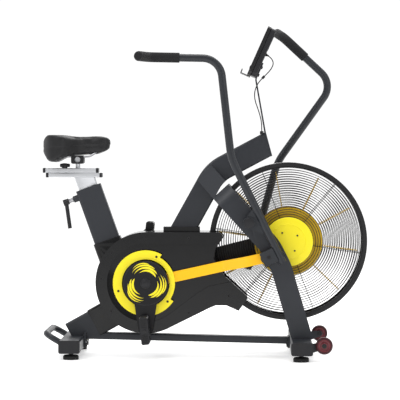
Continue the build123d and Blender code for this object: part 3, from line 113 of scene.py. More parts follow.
class Graph:
    """A material's node tree, with one method for any node and short names for common ones."""

    def __init__(self, name: str) -> None:
        """Start an empty material with a Principled shader."""
        self.material = bpy.data.materials.new(name)
        self.material.use_nodes = True
        self.tree = self.material.node_tree
        self.tree.nodes.clear()
        self.shader = self.node("ShaderNodeBsdfPrincipled")
        out = self.node("ShaderNodeOutputMaterial")
        self.tree.links.new(self.shader.outputs[0], out.inputs["Surface"])
        self.place = self.node("ShaderNodeTexCoord").outputs["Object"]

    def node(self, kind: str, settings: dict[str, Any] | None = None,
             inputs: dict[Any, Any] | None = None) -> Any:
        """Make a node.

        Args:
            kind: The node's type.
            settings: Properties, set before the sockets.
            inputs: Values, sockets or expressions by socket name or number.

        Returns:
            The node.
        """
        made = self.tree.nodes.new(kind)
        for key, value in (settings or {}).items():
            setattr(made, key, value)
        for key, value in (inputs or {}).items():
            self.feed(made.inputs[key], value)
        return made

    def feed(self, socket: Any, value: Any) -> None:
        """Link or set one socket."""
        if isinstance(value, Expr):
            value = value.socket
        if isinstance(value, bpy.types.NodeSocket):
            self.tree.links.new(value, socket)
        else:
            socket.default_value = value

    def maths(self, operation: str, *values: Any) -> Expr:
        """A Math node on up to two values."""
        made = self.node("ShaderNodeMath", {"operation": operation}, dict(enumerate(values)))
        return Expr(self, made.outputs[0])

    def scaled(self, stretch: Point) -> Any:
        """Object coordinates stretched along their axes."""
        return self.node("ShaderNodeMapping", {}, {"Vector": self.place, "Scale": stretch}).outputs[0]

    def noise(self, scale: float, detail: float = 3.0, rough: float = 0.5,
              stretch: Point = (1, 1, 1)) -> Expr:
        """Cloudy noise from nought to one."""
        made = self.node("ShaderNodeTexNoise", {}, {
            "Vector": self.scaled(stretch), "Scale": scale, "Detail": detail, "Roughness": rough})
        return Expr(self, made.outputs[0])

    def cells(self, scale: float, feature: str = "F1") -> Expr:
        """Distance to the nearest point of a scatter."""
        made = self.node("ShaderNodeTexVoronoi", {"feature": feature}, {"Vector": self.place, "Scale": scale})
        return Expr(self, made.outputs[0])

    def band(self, value: Expr, low: float, high: float) -> Expr:
        """A smooth step from nought at low to one at high."""
        made = self.node("ShaderNodeMapRange", {"interpolation_type": "SMOOTHSTEP"},
                         {"Value": value, "From Min": low, "From Max": high})
        return Expr(self, made.outputs[0])

    def mix(self, factor: Any, first: Any, second: Any) -> Any:
        """Two colours mixed; a colour is three numbers or a socket."""
        made = self.node("ShaderNodeMix", {"data_type": "RGBA"})
        self.feed(made.inputs["Factor"], factor)
        for name, value in (("A", first), ("B", second)):
            socket = next(item for item in made.inputs if item.name == name and item.type == "RGBA")
            self.feed(socket, (*value, 1.0) if isinstance(value, tuple) else value)
        return next(item for item in made.outputs if item.type == "RGBA")

    def bump(self, *layers: tuple[Expr, float]) -> None:
        """Feed the shader's normal from stacked height layers, each with a depth in metres."""
        normal = None
        for height, depth in layers:
            inputs = {"Height": height, "Distance": depth, "Strength": 1.0}
            if normal is not None:
                inputs["Normal"] = normal
            normal = self.node("ShaderNodeBump", {}, inputs).outputs[0]
        self.feed(self.shader.inputs["Normal"], normal)

    def base(self, colour: Any, rough: Any, metal: float = 0.0, **others: Any) -> "Graph":
        """Set the shader's main sockets; others are keyed by their names with underscores."""
        values = {"Base Color": (*colour, 1.0) if isinstance(colour, tuple) else colour,
                  "Roughness": rough, "Metallic": metal}
        values.update({key.replace("_", " "): value for key, value in others.items()})
        for key, value in values.items():
            self.feed(self.shader.inputs[key], value)
        return self


# ---------------------------------------------------------------- finishes
@dataclass(frozen=True)
class PowderCoat:
    """Satin powder paint: an even colour, a fine orange peel and a few rubbed places."""

    name: str
    colour: Colour
    rough: float = 0.38
    peel: float = 0.00003
    rub: float = 0.06

    def build(self) -> bpy.types.Material:
        """Make the material."""
        graph = Graph(self.name)
        cloud = graph.noise(9.0, 4.0, 0.6)
        rubbed = graph.band(graph.noise(34.0, 6.0, 0.7), 0.6, 0.78)
        lighter = tuple(min(1.0, value * 1.2 + 0.001) for value in self.colour)
        dusty = tuple(min(1.0, value * 1.15 + self.rub * 0.12) for value in self.colour)
        colour = graph.mix(rubbed * 0.3, graph.mix(cloud, self.colour, lighter), dusty)
        graph.base(colour, self.rough + cloud * 0.08 + rubbed * 0.08, Coat_Weight=0.05, Coat_Roughness=0.25,
                   Specular_IOR_Level=0.3)
        graph.bump((graph.noise(900.0, 2.0), self.peel))
        return graph.material


@dataclass(frozen=True)
class Moulded:
    """Injection-moulded plastic, from mirror gloss to fine spark texture."""

    name: str
    colour: Colour
    rough: float = 0.15
    spark: float = 0.000004
    coat: float = 0.3

    def build(self) -> bpy.types.Material:
        """Make the material."""
        graph = Graph(self.name)
        flow = graph.noise(6.0, 3.0, 0.5)
        handling = graph.band(graph.noise(55.0, 5.0, 0.65), 0.55, 0.8)
        lighter = tuple(min(1.0, value * 1.12 + 0.002) for value in self.colour)
        graph.base(graph.mix(flow, self.colour, lighter), self.rough + handling * 0.1 + flow * 0.03,
                   Coat_Weight=self.coat, Coat_Roughness=0.08, Specular_IOR_Level=0.2)
        graph.bump((graph.noise(1500.0, 2.0), self.spark), (graph.noise(14.0, 2.0), 0.0004))
        return graph.material


@dataclass(frozen=True)
class GlossPaint:
    """Bright gloss paint on steel, with a slight wave and darker grime in random patches."""

    name: str
    colour: Colour
    shade: Colour
    rough: float = 0.28

    def build(self) -> bpy.types.Material:
        """Make the material."""
        graph = Graph(self.name)
        cloud = graph.noise(5.0, 3.0)
        grime = graph.band(graph.noise(28.0, 6.0, 0.7), 0.62, 0.85)
        colour = graph.mix(grime * 0.35, graph.mix(cloud * 0.5, self.colour, self.shade), self.shade)
        graph.base(colour, self.rough + grime * 0.15, Coat_Weight=0.12, Coat_Roughness=0.12,
                   Specular_IOR_Level=0.3)
        graph.bump((graph.noise(320.0, 2.0), 0.00008))
        return graph.material


@dataclass(frozen=True)
class BrushedMetal:
    """Bare metal with brushing along one direction."""

    name: str
    colour: Colour
    rough: float = 0.32
    stretch: Point = (6.0, 260.0, 260.0)

    def build(self) -> bpy.types.Material:
        """Make the material."""
        graph = Graph(self.name)
        lines = graph.noise(4.0, 5.0, 0.7, self.stretch)
        stain = graph.noise(12.0, 4.0, 0.6)
        darker = tuple(value * 0.78 for value in self.colour)
        graph.base(graph.mix(stain * 0.6, self.colour, darker), self.rough + lines * 0.16, 1.0)
        graph.bump((lines, 0.00005))
        return graph.material


@dataclass(frozen=True)
class Rubber:
    """Matt rubber or foam with pores."""

    name: str
    colour: Colour
    rough: float = 0.75
    pore: float = 1400.0
    depth: float = 0.00008

    def build(self) -> bpy.types.Material:
        """Make the material."""
        graph = Graph(self.name)
        dust = graph.noise(18.0, 5.0, 0.65)
        lighter = tuple(value * 1.5 + 0.004 for value in self.colour)
        graph.base(graph.mix(dust * 0.7, self.colour, lighter), self.rough + dust * 0.12,
                   Specular_IOR_Level=0.25)
        graph.bump((graph.cells(self.pore), self.depth))
        return graph.material


@dataclass(frozen=True)
class Vinyl:
    """Upholstery vinyl with a pebbled grain and broad creases."""

    name: str
    colour: Colour
    rough: float = 0.42
    grain: float = 620.0

    def build(self) -> bpy.types.Material:
        """Make the material."""
        graph = Graph(self.name)
        pebble = graph.cells(self.grain, "SMOOTH_F1")
        crease = graph.noise(22.0, 6.0, 0.6)
        lighter = tuple(value * 1.35 + 0.001 for value in self.colour)
        graph.base(graph.mix(crease, self.colour, lighter), self.rough + pebble * 0.2 - crease * 0.06,
                   Specular_IOR_Level=0.35)
        graph.bump((pebble, 0.00006), (crease, 0.0005))
        return graph.material


@dataclass(frozen=True)
class DarkGlass:
    """A display window over a dark panel, with a faint smear."""

    name: str
    colour: Colour

    def build(self) -> bpy.types.Material:
        """Make the material."""
        graph = Graph(self.name)
        smear = graph.noise(24.0, 5.0, 0.7, (1.0, 3.0, 1.0))
        graph.base(graph.mix(smear * 0.4, self.colour, tuple(value * 1.6 for value in self.colour)),
                   0.05 + smear * 0.1, Coat_Weight=1.0, Coat_Roughness=0.03)
        graph.bump((graph.noise(30.0, 2.0), 0.00004))
        return graph.material


class Finish(Enum):
    """The finishes that the bike's pieces are given."""

    FRAME = PowderCoat("frame_powder_coat", (0.021, 0.023, 0.028), 0.36)
    CAGE = PowderCoat("cage_powder_coat", (0.008, 0.008, 0.009), 0.3)
    ARM = PowderCoat("arm_powder_coat", (0.018, 0.020, 0.024), 0.32)
    CASING = Moulded("casing_gloss", (0.0035, 0.0035, 0.0040), 0.13, 0.000004, 0.2)
    PANEL = Moulded("casing_panel_texture", (0.0055, 0.0055, 0.0060), 0.38, 0.00003, 0.05)
    TRIM = Moulded("trim_texture", (0.016, 0.016, 0.018), 0.42, 0.00003, 0.05)
    YELLOW = GlossPaint("bright_yellow_paint", (0.93, 0.79, 0.016), (0.84, 0.70, 0.010), 0.38)
    FAN = GlossPaint("fan_yellow", (0.72, 0.46, 0.010), (0.48, 0.29, 0.008), 0.42)
    ORANGE = GlossPaint("rod_orange_paint", (1.0, 0.54, 0.0), (0.94, 0.47, 0.0), 0.36)
    ALUMINIUM = BrushedMetal("brushed_aluminium", (0.60, 0.61, 0.63), 0.34)
    STEEL = BrushedMetal("zinc_plated_steel", (0.42, 0.42, 0.44), 0.28, (60.0, 60.0, 60.0))
    BOLT = PowderCoat("blackened_bolt", (0.010, 0.010, 0.011), 0.42, 0.00004)
    FOAM = Rubber("grip_foam", (0.011, 0.011, 0.012), 0.8, 900.0, 0.0001)
    RUBBER = Rubber("moulded_rubber", (0.010, 0.010, 0.010), 0.7)
    CORD = Rubber("cable_jacket", (0.014, 0.014, 0.015), 0.5, 2200.0, 0.00006)
    VINYL = Vinyl("padded_vinyl", (0.0060, 0.0060, 0.0068))
    DISC = Moulded("crank_disc_satin", (0.0065, 0.0065, 0.0075), 0.34, 0.00002, 0.05)
    BEZEL = Moulded("console_bezel", (0.010, 0.010, 0.011), 0.3, 0.00001, 0.4)
    THREAD = Rubber("seam_thread", (0.035, 0.035, 0.037), 0.6, 3000.0, 0.00004)
    TYRE = Moulded("wheel_tyre", (0.042, 0.008, 0.011), 0.3, 0.00001, 0.2)
    RED = Moulded("wheel_hub_red", (0.13, 0.014, 0.021), 0.28, 0.00001, 0.4)
    GLASS = DarkGlass("display_glass", (0.012, 0.015, 0.016))
    LCD = Moulded("display_panel", (0.16, 0.19, 0.17), 0.2, 0.000002, 0.5)

    @property
    def material(self) -> bpy.types.Material:
        """The finish's material, made on first use."""
        return bpy.data.materials.get(self.value.name) or self.value.build()


# ---------------------------------------------------------------- mesh building
def direction(angle: float) -> Vector:
    """The direction at an angle above +X in the plane of the bike, in degrees."""
    turn = math.radians(angle)
    return Vector((math.cos(turn), 0.0, math.sin(turn)))


def side_name(side: int) -> str:
    """The rider's name for a side of the bike, whose left is +Y."""
    return "left" if side > 0 else "right"


class Shape:
    """A mesh being built in millimetres, in the bike's own frame."""

    def __init__(self) -> None:
        """Start with nothing."""
        self.work = bmesh.new()

    def lathe(self, profile: Sequence[tuple[float, float]], origin: Sequence[float],
              axis: Sequence[float] = (0, 1, 0), segments: int = 64) -> "Shape":
        """Turn a profile about an axis.

        Args:
            profile: Radius and height pairs; the first is repeated at the end for a ring.
            origin: A point on the axis, where the height is nought.
            axis: The axis, along which the height grows.
            segments: Faces round the turn.

        Returns:
            The shape.
        """
        turn = Vector(axis).to_track_quat("Z", "Y").to_matrix()
        rings = []
        for radius, height in profile:
            count = segments if radius > 1e-4 else 1
            rings.append([self.work.verts.new(Vector(origin) + turn @ Vector((
                radius * math.cos(math.tau * step / segments),
                radius * math.sin(math.tau * step / segments), height))) for step in range(count)])
        for first, second in zip(rings, rings[1:]):
            for step in range(segments):
                self.face(first[step % len(first)], first[(step + 1) % len(first)],
                          second[(step + 1) % len(second)], second[step % len(second)])
        return self

    def face(self, *corners: Any) -> None:
        """Add a face, leaving out repeated corners."""
        unique = list(dict.fromkeys(corners))
        if len(unique) > 2:
            self.work.faces.new(unique)

    def prism(self, outline: Sequence[tuple[float, float]], near: float, far: float) -> "Shape":
        """Fill an (x, z) outline from one y to another."""
        ends = [[self.work.verts.new((x, y, z)) for x, z in outline] for y in (near, far)]
        self.face(*ends[0])
        self.face(*reversed(ends[1]))
        count = len(outline)
        for step in range(count):
            after = (step + 1) % count
            self.face(ends[0][step], ends[1][step], ends[1][after], ends[0][after])
        return self

    def loft(self, rows: Sequence[Sequence[Vector]], closed: bool = True) -> "Shape":
        """Join rows of points into a skin, with the first and last rows closed by a face."""
        rings = [[self.work.verts.new(point) for point in row] for row in rows]
        for first, second in zip(rings, rings[1:]):
            for step in range(len(first) if closed else len(first) - 1):
                after = (step + 1) % len(first)
                self.face(first[step], first[after], second[after], second[step])
        if closed:
            self.face(*rings[0])
            self.face(*reversed(rings[-1]))
        return self

    def mesh(self, name: str) -> bpy.types.Mesh:
        """Close the shape, point its faces outwards and give it as a mesh in metres."""
        bmesh.ops.remove_doubles(self.work, verts=self.work.verts, dist=1e-3)
        bmesh.ops.recalc_face_normals(self.work, faces=self.work.faces)
        bmesh.ops.scale(self.work, vec=(MM, MM, MM), verts=self.work.verts)
        made = bpy.data.meshes.new(name)
        self.work.to_mesh(made)
        self.work.free()
        return made


def linked(name: str, data: Any) -> bpy.types.Object:
    """A new object in the scene."""
    made = bpy.data.objects.new(name, data)
    bpy.context.scene.collection.objects.link(made)
    return made


def settle(piece: bpy.types.Object) -> None:
    """Turn a piece's modifiers into its mesh."""
    graph = bpy.context.evaluated_depsgraph_get()
    mesh = bpy.data.meshes.new_from_object(piece.evaluated_get(graph), depsgraph=graph)
    piece.modifiers.clear()
    piece.data = mesh


def smooth(mesh: bpy.types.Mesh, angle: float = 32.0) -> None:
    """Shade smoothly, except over edges sharper than an angle in degrees."""
    mesh.shade_smooth()
    mesh.set_sharp_from_angle(angle=math.radians(angle))


@dataclass
class Bike:
    """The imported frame, and what is placed on it."""

    frame: dict[str, Any]
    count: int = 0

    def place(self, name: str, mesh: bpy.types.Mesh, finish: Finish | None, body: str,
              stands_for: Sequence[str] = (), bevel: float = 0.0, levels: int = 0) -> bpy.types.Object:
        """Make a finished piece that rides on a body.

        Args:
            name: The piece's name.
            mesh: Its mesh in metres, in place.
            finish: What it is made of, or None where its materials are set already.
            body: The CAD body that it moves with.
            stands_for: CAD nodes that it replaces.
            bevel: Width of the rounding on its edges, in millimetres.
            levels: Subdivision levels.

        Returns:
            The piece.
        """
        piece = linked(name, mesh)
        if finish is not None:
            mesh.materials.clear()
            mesh.materials.append(finish.material)
        smooth(mesh)
        if bevel:
            rounding = piece.modifiers.new("rounding", "BEVEL")
            rounding.width, rounding.segments = bevel * MM, 2
            rounding.limit_method, rounding.angle_limit = "ANGLE", math.radians(38)
            rounding.harden_normals = True
        if levels:
            rounding = piece.modifiers.new("subdivision", "SUBSURF")
            rounding.levels = rounding.render_levels = levels
        if bevel or levels:
            settle(piece)
        if stands_for:
            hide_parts(*stands_for)
        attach(piece, body)
        self.count += 1
        LOG.info("piece %s on %s: %d faces", name, body, len(piece.data.polygons))
        return piece

    def body(self, node: str) -> str:
        """The body that a CAD node rides on."""
        return self.frame["nodes"][node]["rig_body"]

    def refine(self, node: str, finish: Finish | Callable[[Vector, Vector], Finish | None],
               bevel: float = 0.8, patch: Callable[[Vector], Finish | None] | None = None) -> bpy.types.Object:
        """Give a CAD node merged faces, softened edges and its finish, with its shape as it is.

        Args:
            node: The CAD node, which the new piece replaces.
            finish: The finish, or a function from a solid's lowest and highest corner, in
                millimetres, to its finish, or None to leave that solid to another piece.
            bevel: Width of the rounding on its edges, in millimetres.
            patch: A function from a face's middle, in millimetres, to the finish of that face, or
                None where it keeps its solid's.

        Returns:
            The new piece.
        """
        work = bmesh.new()
        work.from_mesh(self.frame["nodes"][node].data)
        bmesh.ops.remove_doubles(work, verts=work.verts, dist=2e-6)
        bmesh.ops.dissolve_degenerate(work, edges=work.edges, dist=1e-6)
        bmesh.ops.dissolve_limit(work, angle_limit=math.radians(0.6), verts=work.verts, edges=work.edges)
        mesh = bpy.data.meshes.new(node)
        used: list[Finish] = []
        if isinstance(finish, Finish):
            used = [finish]
        else:
            for island in islands(work):
                low, high = extent(island)
                chosen = finish(low / MM, high / MM)
                if chosen is None:
                    bmesh.ops.delete(work, geom=island, context="FACES")
                    continue
                if chosen not in used:
                    used.append(chosen)
                for face in island:
                    face.material_index = used.index(chosen)
        for face in work.faces:
            face.smooth = True
            chosen = patch(face.calc_center_median() / MM) if patch else None
            if chosen is not None:
                if chosen not in used:
                    used.append(chosen)
                face.material_index = used.index(chosen)
        work.to_mesh(mesh)
        work.free()
        mesh.materials.clear()
        for item in used:
            mesh.materials.append(item.material)
        piece = self.place(f"{node}_finished", mesh, None, self.body(node), (node,), bevel)
        return piece


def islands(work: bmesh.types.BMesh) -> list[list[Any]]:
    """The separate groups of joined faces of a mesh."""
    left = set(work.faces)
    groups = []
    for first in list(work.faces):
        if first not in left:
            continue
        left.remove(first)
        queue = [first]
        group = []
        while queue:
            face = queue.pop()
            group.append(face)
            for edge in face.edges:
                for other in edge.link_faces:
                    if other in left:
                        left.remove(other)
                        queue.append(other)
        groups.append(group)
    return groups


def extent(faces: Iterable[Any]) -> tuple[Vector, Vector]:
    """The lowest and highest corner of some faces."""
    points = [vert.co for face in faces for vert in face.verts]
    return (Vector(tuple(min(point[axis] for point in points) for axis in range(3))),
            Vector(tuple(max(point[axis] for point in points) for axis in range(3))))


# ---------------------------------------------------------------- Geometry Nodes
class Rule:
    """A Geometry Nodes tree with named inputs, which makes a shape that follows a rule."""

    def __init__(self, name: str, **inputs: Any) -> None:
        """Start a tree.

        Args:
            name: The tree's name.
            inputs: Values of its named inputs; underscores stand for spaces.
        """
        self.tree = bpy.data.node_groups.new(name, "GeometryNodeTree")
        self.values: dict[str, Any] = {}
        self.tree.interface.new_socket("Geometry", in_out="INPUT", socket_type="NodeSocketGeometry")
        self.tree.interface.new_socket("Geometry", in_out="OUTPUT", socket_type="NodeSocketGeometry")
        kinds = {int: "NodeSocketInt", float: "NodeSocketFloat", tuple: "NodeSocketVector",
                 bpy.types.Object: "NodeSocketObject", bpy.types.Material: "NodeSocketMaterial"}
        for key, value in inputs.items():
            kind = next(socket for base, socket in kinds.items() if isinstance(value, base))
            made = self.tree.interface.new_socket(key.replace("_", " "), in_out="INPUT", socket_type=kind)
            self.values[made.identifier] = value
        self.given = self.tree.nodes.new("NodeGroupInput")
        self.out = self.tree.nodes.new("NodeGroupOutput")

    def want(self, name: str) -> Any:
        """The socket of a named input."""
        return self.given.outputs[name]

    def node(self, kind: str, settings: dict[str, Any] | None = None,
             inputs: dict[Any, Any] | None = None, out: Any = 0) -> Any:
        """Make a node and give one of its output sockets."""
        made = self.tree.nodes.new(kind)
        for key, value in (settings or {}).items():
            setattr(made, key, value)
        for key, value in (inputs or {}).items():
            if isinstance(value, bpy.types.NodeSocket):
                self.tree.links.new(value, made.inputs[key])
            else:
                made.inputs[key].default_value = value
        return made.outputs[out]

    def maths(self, operation: str, *values: Any) -> Any:
        """A Math node."""
        return self.node("ShaderNodeMath", {"operation": operation}, dict(enumerate(values)))

    def vector(self, x: Any = 0.0, y: Any = 0.0, z: Any = 0.0) -> Any:
        """A vector from its three numbers."""
        return self.node("ShaderNodeCombineXYZ", {}, {0: x, 1: y, 2: z})

    def made(self, geometry: Any, name: str, start: bpy.types.Mesh | None = None) -> bpy.types.Mesh:
        """Realize the geometry, give it the Material input and turn it into a plain mesh.

        Args:
            geometry: The last geometry socket.
            name: The mesh's name.
            start: The mesh that the rule starts from, where it has one.

        Returns:
            The mesh.
        """
        whole = self.node("GeometryNodeRealizeInstances", {}, {0: geometry})
        dressed = self.node("GeometryNodeSetMaterial", {},
                            {"Geometry": whole, "Material": self.want("Material")})
        self.tree.links.new(dressed, self.out.inputs[0])
        holder = linked(name, start or bpy.data.meshes.new(name))
        modifier = holder.modifiers.new("rule", "NODES")
        modifier.node_group = self.tree
        for identifier, value in self.values.items():
            modifier[identifier] = value
        graph = bpy.context.evaluated_depsgraph_get()
        mesh = bpy.data.meshes.new_from_object(holder.evaluated_get(graph), depsgraph=graph)
        holder.modifiers.clear()
        bpy.data.objects.remove(holder)
        return mesh


def repeated(name: str, head: bpy.types.Mesh, spots: Sequence[Sequence[float]], facing: Sequence[float],
             finish: Finish, size: float = 1.0) -> bpy.types.Mesh:
    """Put one small part at many places.

    Args:
        name: The mesh's name.
        head: The part, standing on its origin along +Z, in metres.
        spots: The places in millimetres.
        facing: The direction that its +Z takes.
        finish: What it is made of.
        size: Its scale.

    Returns:
        One plain mesh.
    """
    points = bpy.data.meshes.new(f"{name}_spots")
    points.from_pydata([Vector(spot) * MM for spot in spots], [], [])
    sample = linked(f"{name}_sample", head)
    turn = Vector(facing).to_track_quat("Z", "Y").to_euler()
    rule = Rule(name, Part=sample, Turn=tuple(turn), Size=float(size), Material=finish.material)
    part = rule.node("GeometryNodeObjectInfo", {}, {"Object": rule.want("Part")}, "Geometry")
    put = rule.node("GeometryNodeInstanceOnPoints", {}, {
        "Points": rule.given.outputs["Geometry"], "Instance": part, "Rotation": rule.want("Turn"),
        "Scale": rule.want("Size")})
    mesh = rule.made(put, name, points)
    bpy.data.objects.remove(sample)
    return mesh


# ---------------------------------------------------------------- stage
@dataclass
class Studio:
    """A pale floor, soft lights and a long lens level with the bike's middle."""

    place: Point = (0.1665, -7.6, 0.820)
    target: Point = (-0.0183, 0.0, 0.6037)
    lens: float = 175.4
    sensor: float = 36.0
    floor_side: float = 60.0
    floor_glow: float = 0.42
    dim: float = 0.45
    bright: float = 1.05
    fade_reach: float = 0.5
    lights: tuple[tuple[str, Point, float, float], ...] = (
        ("key", (-2.6, -3.6, 4.2), 2.0, 95.0),
        ("fill", (3.6, -3.2, 2.6), 2.2, 38.0),
        ("top", (0.2, 0.2, 4.6), 3.0, 95.0),
        ("rim", (0.5, 3.8, 2.8), 2.4, 60.0),
    )

    def build(self) -> None:
        """Make the floor, the world, the lights and the camera."""
        self.floor()
        self.sky()
        for name, place, size, power in self.lights:
            data = bpy.data.lights.new(name, "AREA")
            data.shape, data.size, data.energy = "SQUARE", size, power
            lamp = linked(name, data)
            lamp.location = place
            lamp.rotation_euler = (Vector((0, 0, 0.55)) - Vector(place)).to_track_quat("-Z", "Y").to_euler()
        data = bpy.data.cameras.new("camera")
        data.lens, data.sensor_width = self.lens, self.sensor
        camera = linked("camera", data)
        camera.location = self.place
        camera.rotation_euler = (Vector(self.target) - Vector(self.place)).to_track_quat("-Z", "Y").to_euler()
        bpy.context.scene.camera = camera

    def floor(self) -> None:
        """A wide pale floor."""
        graph = Graph("studio_floor")
        tone = graph.noise(0.6, 2.0)
        graph.base(graph.mix(tone, (0.86, 0.86, 0.86), (0.89, 0.89, 0.89)), 0.9)
        graph.shader.inputs["Emission Color"].default_value = (1.0, 1.0, 1.0, 1.0)
        graph.shader.inputs["Emission Strength"].default_value = self.floor_glow
        half = self.floor_side / 2
        mesh = bpy.data.meshes.new("floor")
        mesh.from_pydata([(-half, -half, 0), (half, -half, 0), (half, half, 0), (-half, half, 0)], [],
                         [(0, 1, 2, 3)])
        mesh.materials.append(graph.material)
        linked("floor", mesh)

    def sky(self) -> None:
        """A white surround behind the bike that dims towards the other side, for darker reflections."""
        world = bpy.data.worlds.new("surround")
        world.use_nodes = True
        tree = world.node_tree
        background = tree.nodes["Background"]
        background.inputs["Color"].default_value = (1.0, 1.0, 1.0, 1.0)
        place = tree.nodes.new("ShaderNodeTexCoord")
        split = tree.nodes.new("ShaderNodeSeparateXYZ")
        fade = tree.nodes.new("ShaderNodeMapRange")
        for name, value in (("From Min", -self.fade_reach), ("From Max", self.fade_reach),
                            ("To Min", self.dim), ("To Max", self.bright)):
            fade.inputs[name].default_value = value
        tree.links.new(place.outputs["Generated"], split.inputs[0])
        tree.links.new(split.outputs["Y"], fade.inputs["Value"])
        tree.links.new(fade.outputs[0], background.inputs["Strength"])
        bpy.context.scene.world = world
        bpy.context.scene.view_settings.view_transform = "Standard"


# ---------------------------------------------------------------- main frame
@dataclass
class Framework:
    """The welded frame, its floor tubes, plates, end caps and handle."""

    bike: Bike
    tubes: tuple[str, ...] = ("rear_stabilizer", "front_stabilizer", "rear_strut", "seat_tube", "main_tube",
                              "fork_leg_right", "fork_leg_left", "console_bracket", "rear_handle", "base_rail",
                              "jackshaft_bracket")

    def build(self) -> None:
        """Dress the tubes and plates."""
        for node in self.tubes:
            self.bike.refine(node, Finish.FRAME, 1.0)
        self.bike.refine("bottom_bracket", Finish.FRAME, 0.5)
        self.bike.refine("fan_bearing_plates", Finish.FRAME, 0.8)
        self.bike.refine("stabilizer_end_caps", Finish.TRIM, 2.0)


def socket_head(radius: float, height: float) -> bpy.types.Mesh:
    """A round screw head with a hexagon socket, standing on its origin along +Z."""
    steps = 24

    def row(size: float, level: float, hexagon: bool = False) -> list[Vector]:
        """One ring of points, round or six-sided."""
        points = []
        for step in range(steps):
            turn = math.tau * step / steps
            flat = math.cos((turn % (math.tau / 6)) - math.tau / 12) if hexagon else 1.0
            points.append(Vector((size / flat * math.cos(turn), size / flat * math.sin(turn), level)))
        return points

    socket = radius * 0.46
    return Shape().loft([row(radius, 0.0), row(radius, height * 0.6), row(radius * 0.94, height * 0.86),
                         row(radius * 0.8, height), row(socket, height, True),
                         row(socket, height * 0.3, True)]).mesh("socket_head")


@dataclass
class Feet:
    """The four levelling feet."""

    bike: Bike
    pad_top: float = 17.0

    def build(self) -> None:
        """A rubber pad on a steel stem at each corner."""
        for number in range(1, 5):
            self.bike.refine(f"leveling_foot_{number}", Finish.RUBBER, 1.2,
                             lambda middle: Finish.STEEL if middle.z > self.pad_top + 1.0 else None)


@dataclass
class Wheels:
    """The two transport wheels: a dark tyre on a red hub."""

    bike: Bike
    centre: tuple[float, float] = (457.0, 60.0)
    y: float = 250.0
    radius: float = 33.0
    width: float = 22.0
    hub: float = 23.5
    pin: float = 5.3

    def build(self) -> None:
        """Turn a tyre and a hub for each side."""
        half = self.width / 2
        for side in (-1, 1):
            name = side_name(side)
            origin = (self.centre[0], side * self.y, self.centre[1])
            tyre = [(self.hub, -half + 1.5), (self.hub + 2, -half), (self.radius - 5, -half),
                    (self.radius - 2, -half + 1.5), (self.radius - 0.4, -half + 5), (self.radius, 0),
                    (self.radius - 0.4, half - 5), (self.radius - 2, half - 1.5), (self.radius - 5, half),
                    (self.hub + 2, half), (self.hub, half - 1.5), (self.hub, -half + 1.5)]
            self.bike.place(f"tyre_{name}", Shape().lathe(tyre, origin).mesh("tyre"), Finish.TYRE,
                            f"{name}_wheel", (f"wheel_{name}",))
            profile = [(self.pin, -half + 1), (8.5, -half + 0.6), (9.5, -half + 1.6), (9.8, -half + 5),
                       (17.5, -half + 5.5), (18.5, -half + 2.2), (20.0, -half + 1.6), (self.hub, -half + 1.8)]
            ring = profile + [(radius, -level) for radius, level in reversed(profile)] + profile[:1]
            self.bike.place(f"wheel_hub_{name}", Shape().lathe(ring, origin).mesh("hub"), Finish.RED,
                            f"{name}_wheel")
            bearing = [(self.pin, -half + 0.4), (8.6, -half + 0.4), (8.6, half - 0.4), (self.pin, half - 0.4),
                       (self.pin, -half + 0.4)]
            mesh = Shape().lathe(bearing, origin, segments=40).mesh("bearing")
            self.bike.place(f"wheel_bearing_{name}", mesh, Finish.STEEL, f"{name}_wheel")


# ---------------------------------------------------------------- drive
@dataclass
class Casing:
    """The moulded side casing, the yellow ring covers and the belt guard."""

    bike: Bike
    crank: tuple[float, float] = (-225.0, 285.5)
    panel_y: float = 78.0
    face_y: float = 86.0
    screw_radius: float = 4.5
    screw_height: float = 2.4
    ring_screw_height: float = 1.4
    screws: tuple[tuple[float, float], ...] = (
        (-225.0, 459.0), (-60.0, 459.0), (-360.0, 400.0), (-398.0, 300.0), (-360.0, 175.0), (-60.0, 170.0),
        (95.0, 235.0))
    ring_face_y: float = 107.0
    ring_screw_radius: float = 110.0
    ring_screws: tuple[float, ...] = (68.0, -40.0, 196.0)

    def build(self) -> None:
        """Dress the casing halves, the rings and their screws."""
        for side in (-1, 1):
            self.bike.refine(f"casing_{side_name(side)}", Finish.CASING, 1.6, self.panel)
        self.bike.refine("ring_covers", Finish.YELLOW, 0.6)
        self.bike.refine("belt_guard", Finish.TRIM, 1.5)
        self.bike.refine("drive_belts", Finish.RUBBER, 0.0)
        head = socket_head(self.screw_radius, self.screw_height)
        low_head = socket_head(self.screw_radius, self.ring_screw_height)
        for side in (-1, 1):
            spots = [(x, side * self.face_y, z) for x, z in self.screws]
            self.bike.place(f"casing_screws_{side_name(side)}", repeated(
                "casing_screws", head.copy(), spots, (0, side, 0), Finish.BOLT), Finish.BOLT, "frame")
            spots = [Vector((self.crank[0], side * self.ring_face_y, self.crank[1]))
                     + self.ring_screw_radius * direction(angle) for angle in self.ring_screws]
            self.bike.place(f"ring_screws_{side_name(side)}", repeated(
                "ring_screws", low_head.copy(), spots, (0, side, 0), Finish.BOLT), Finish.BOLT, "frame")

    def panel(self, middle: Vector) -> Finish | None:
        """The recessed panel has a fine texture."""
        return Finish.PANEL if abs(abs(middle.y) - self.panel_y) < 0.6 else None


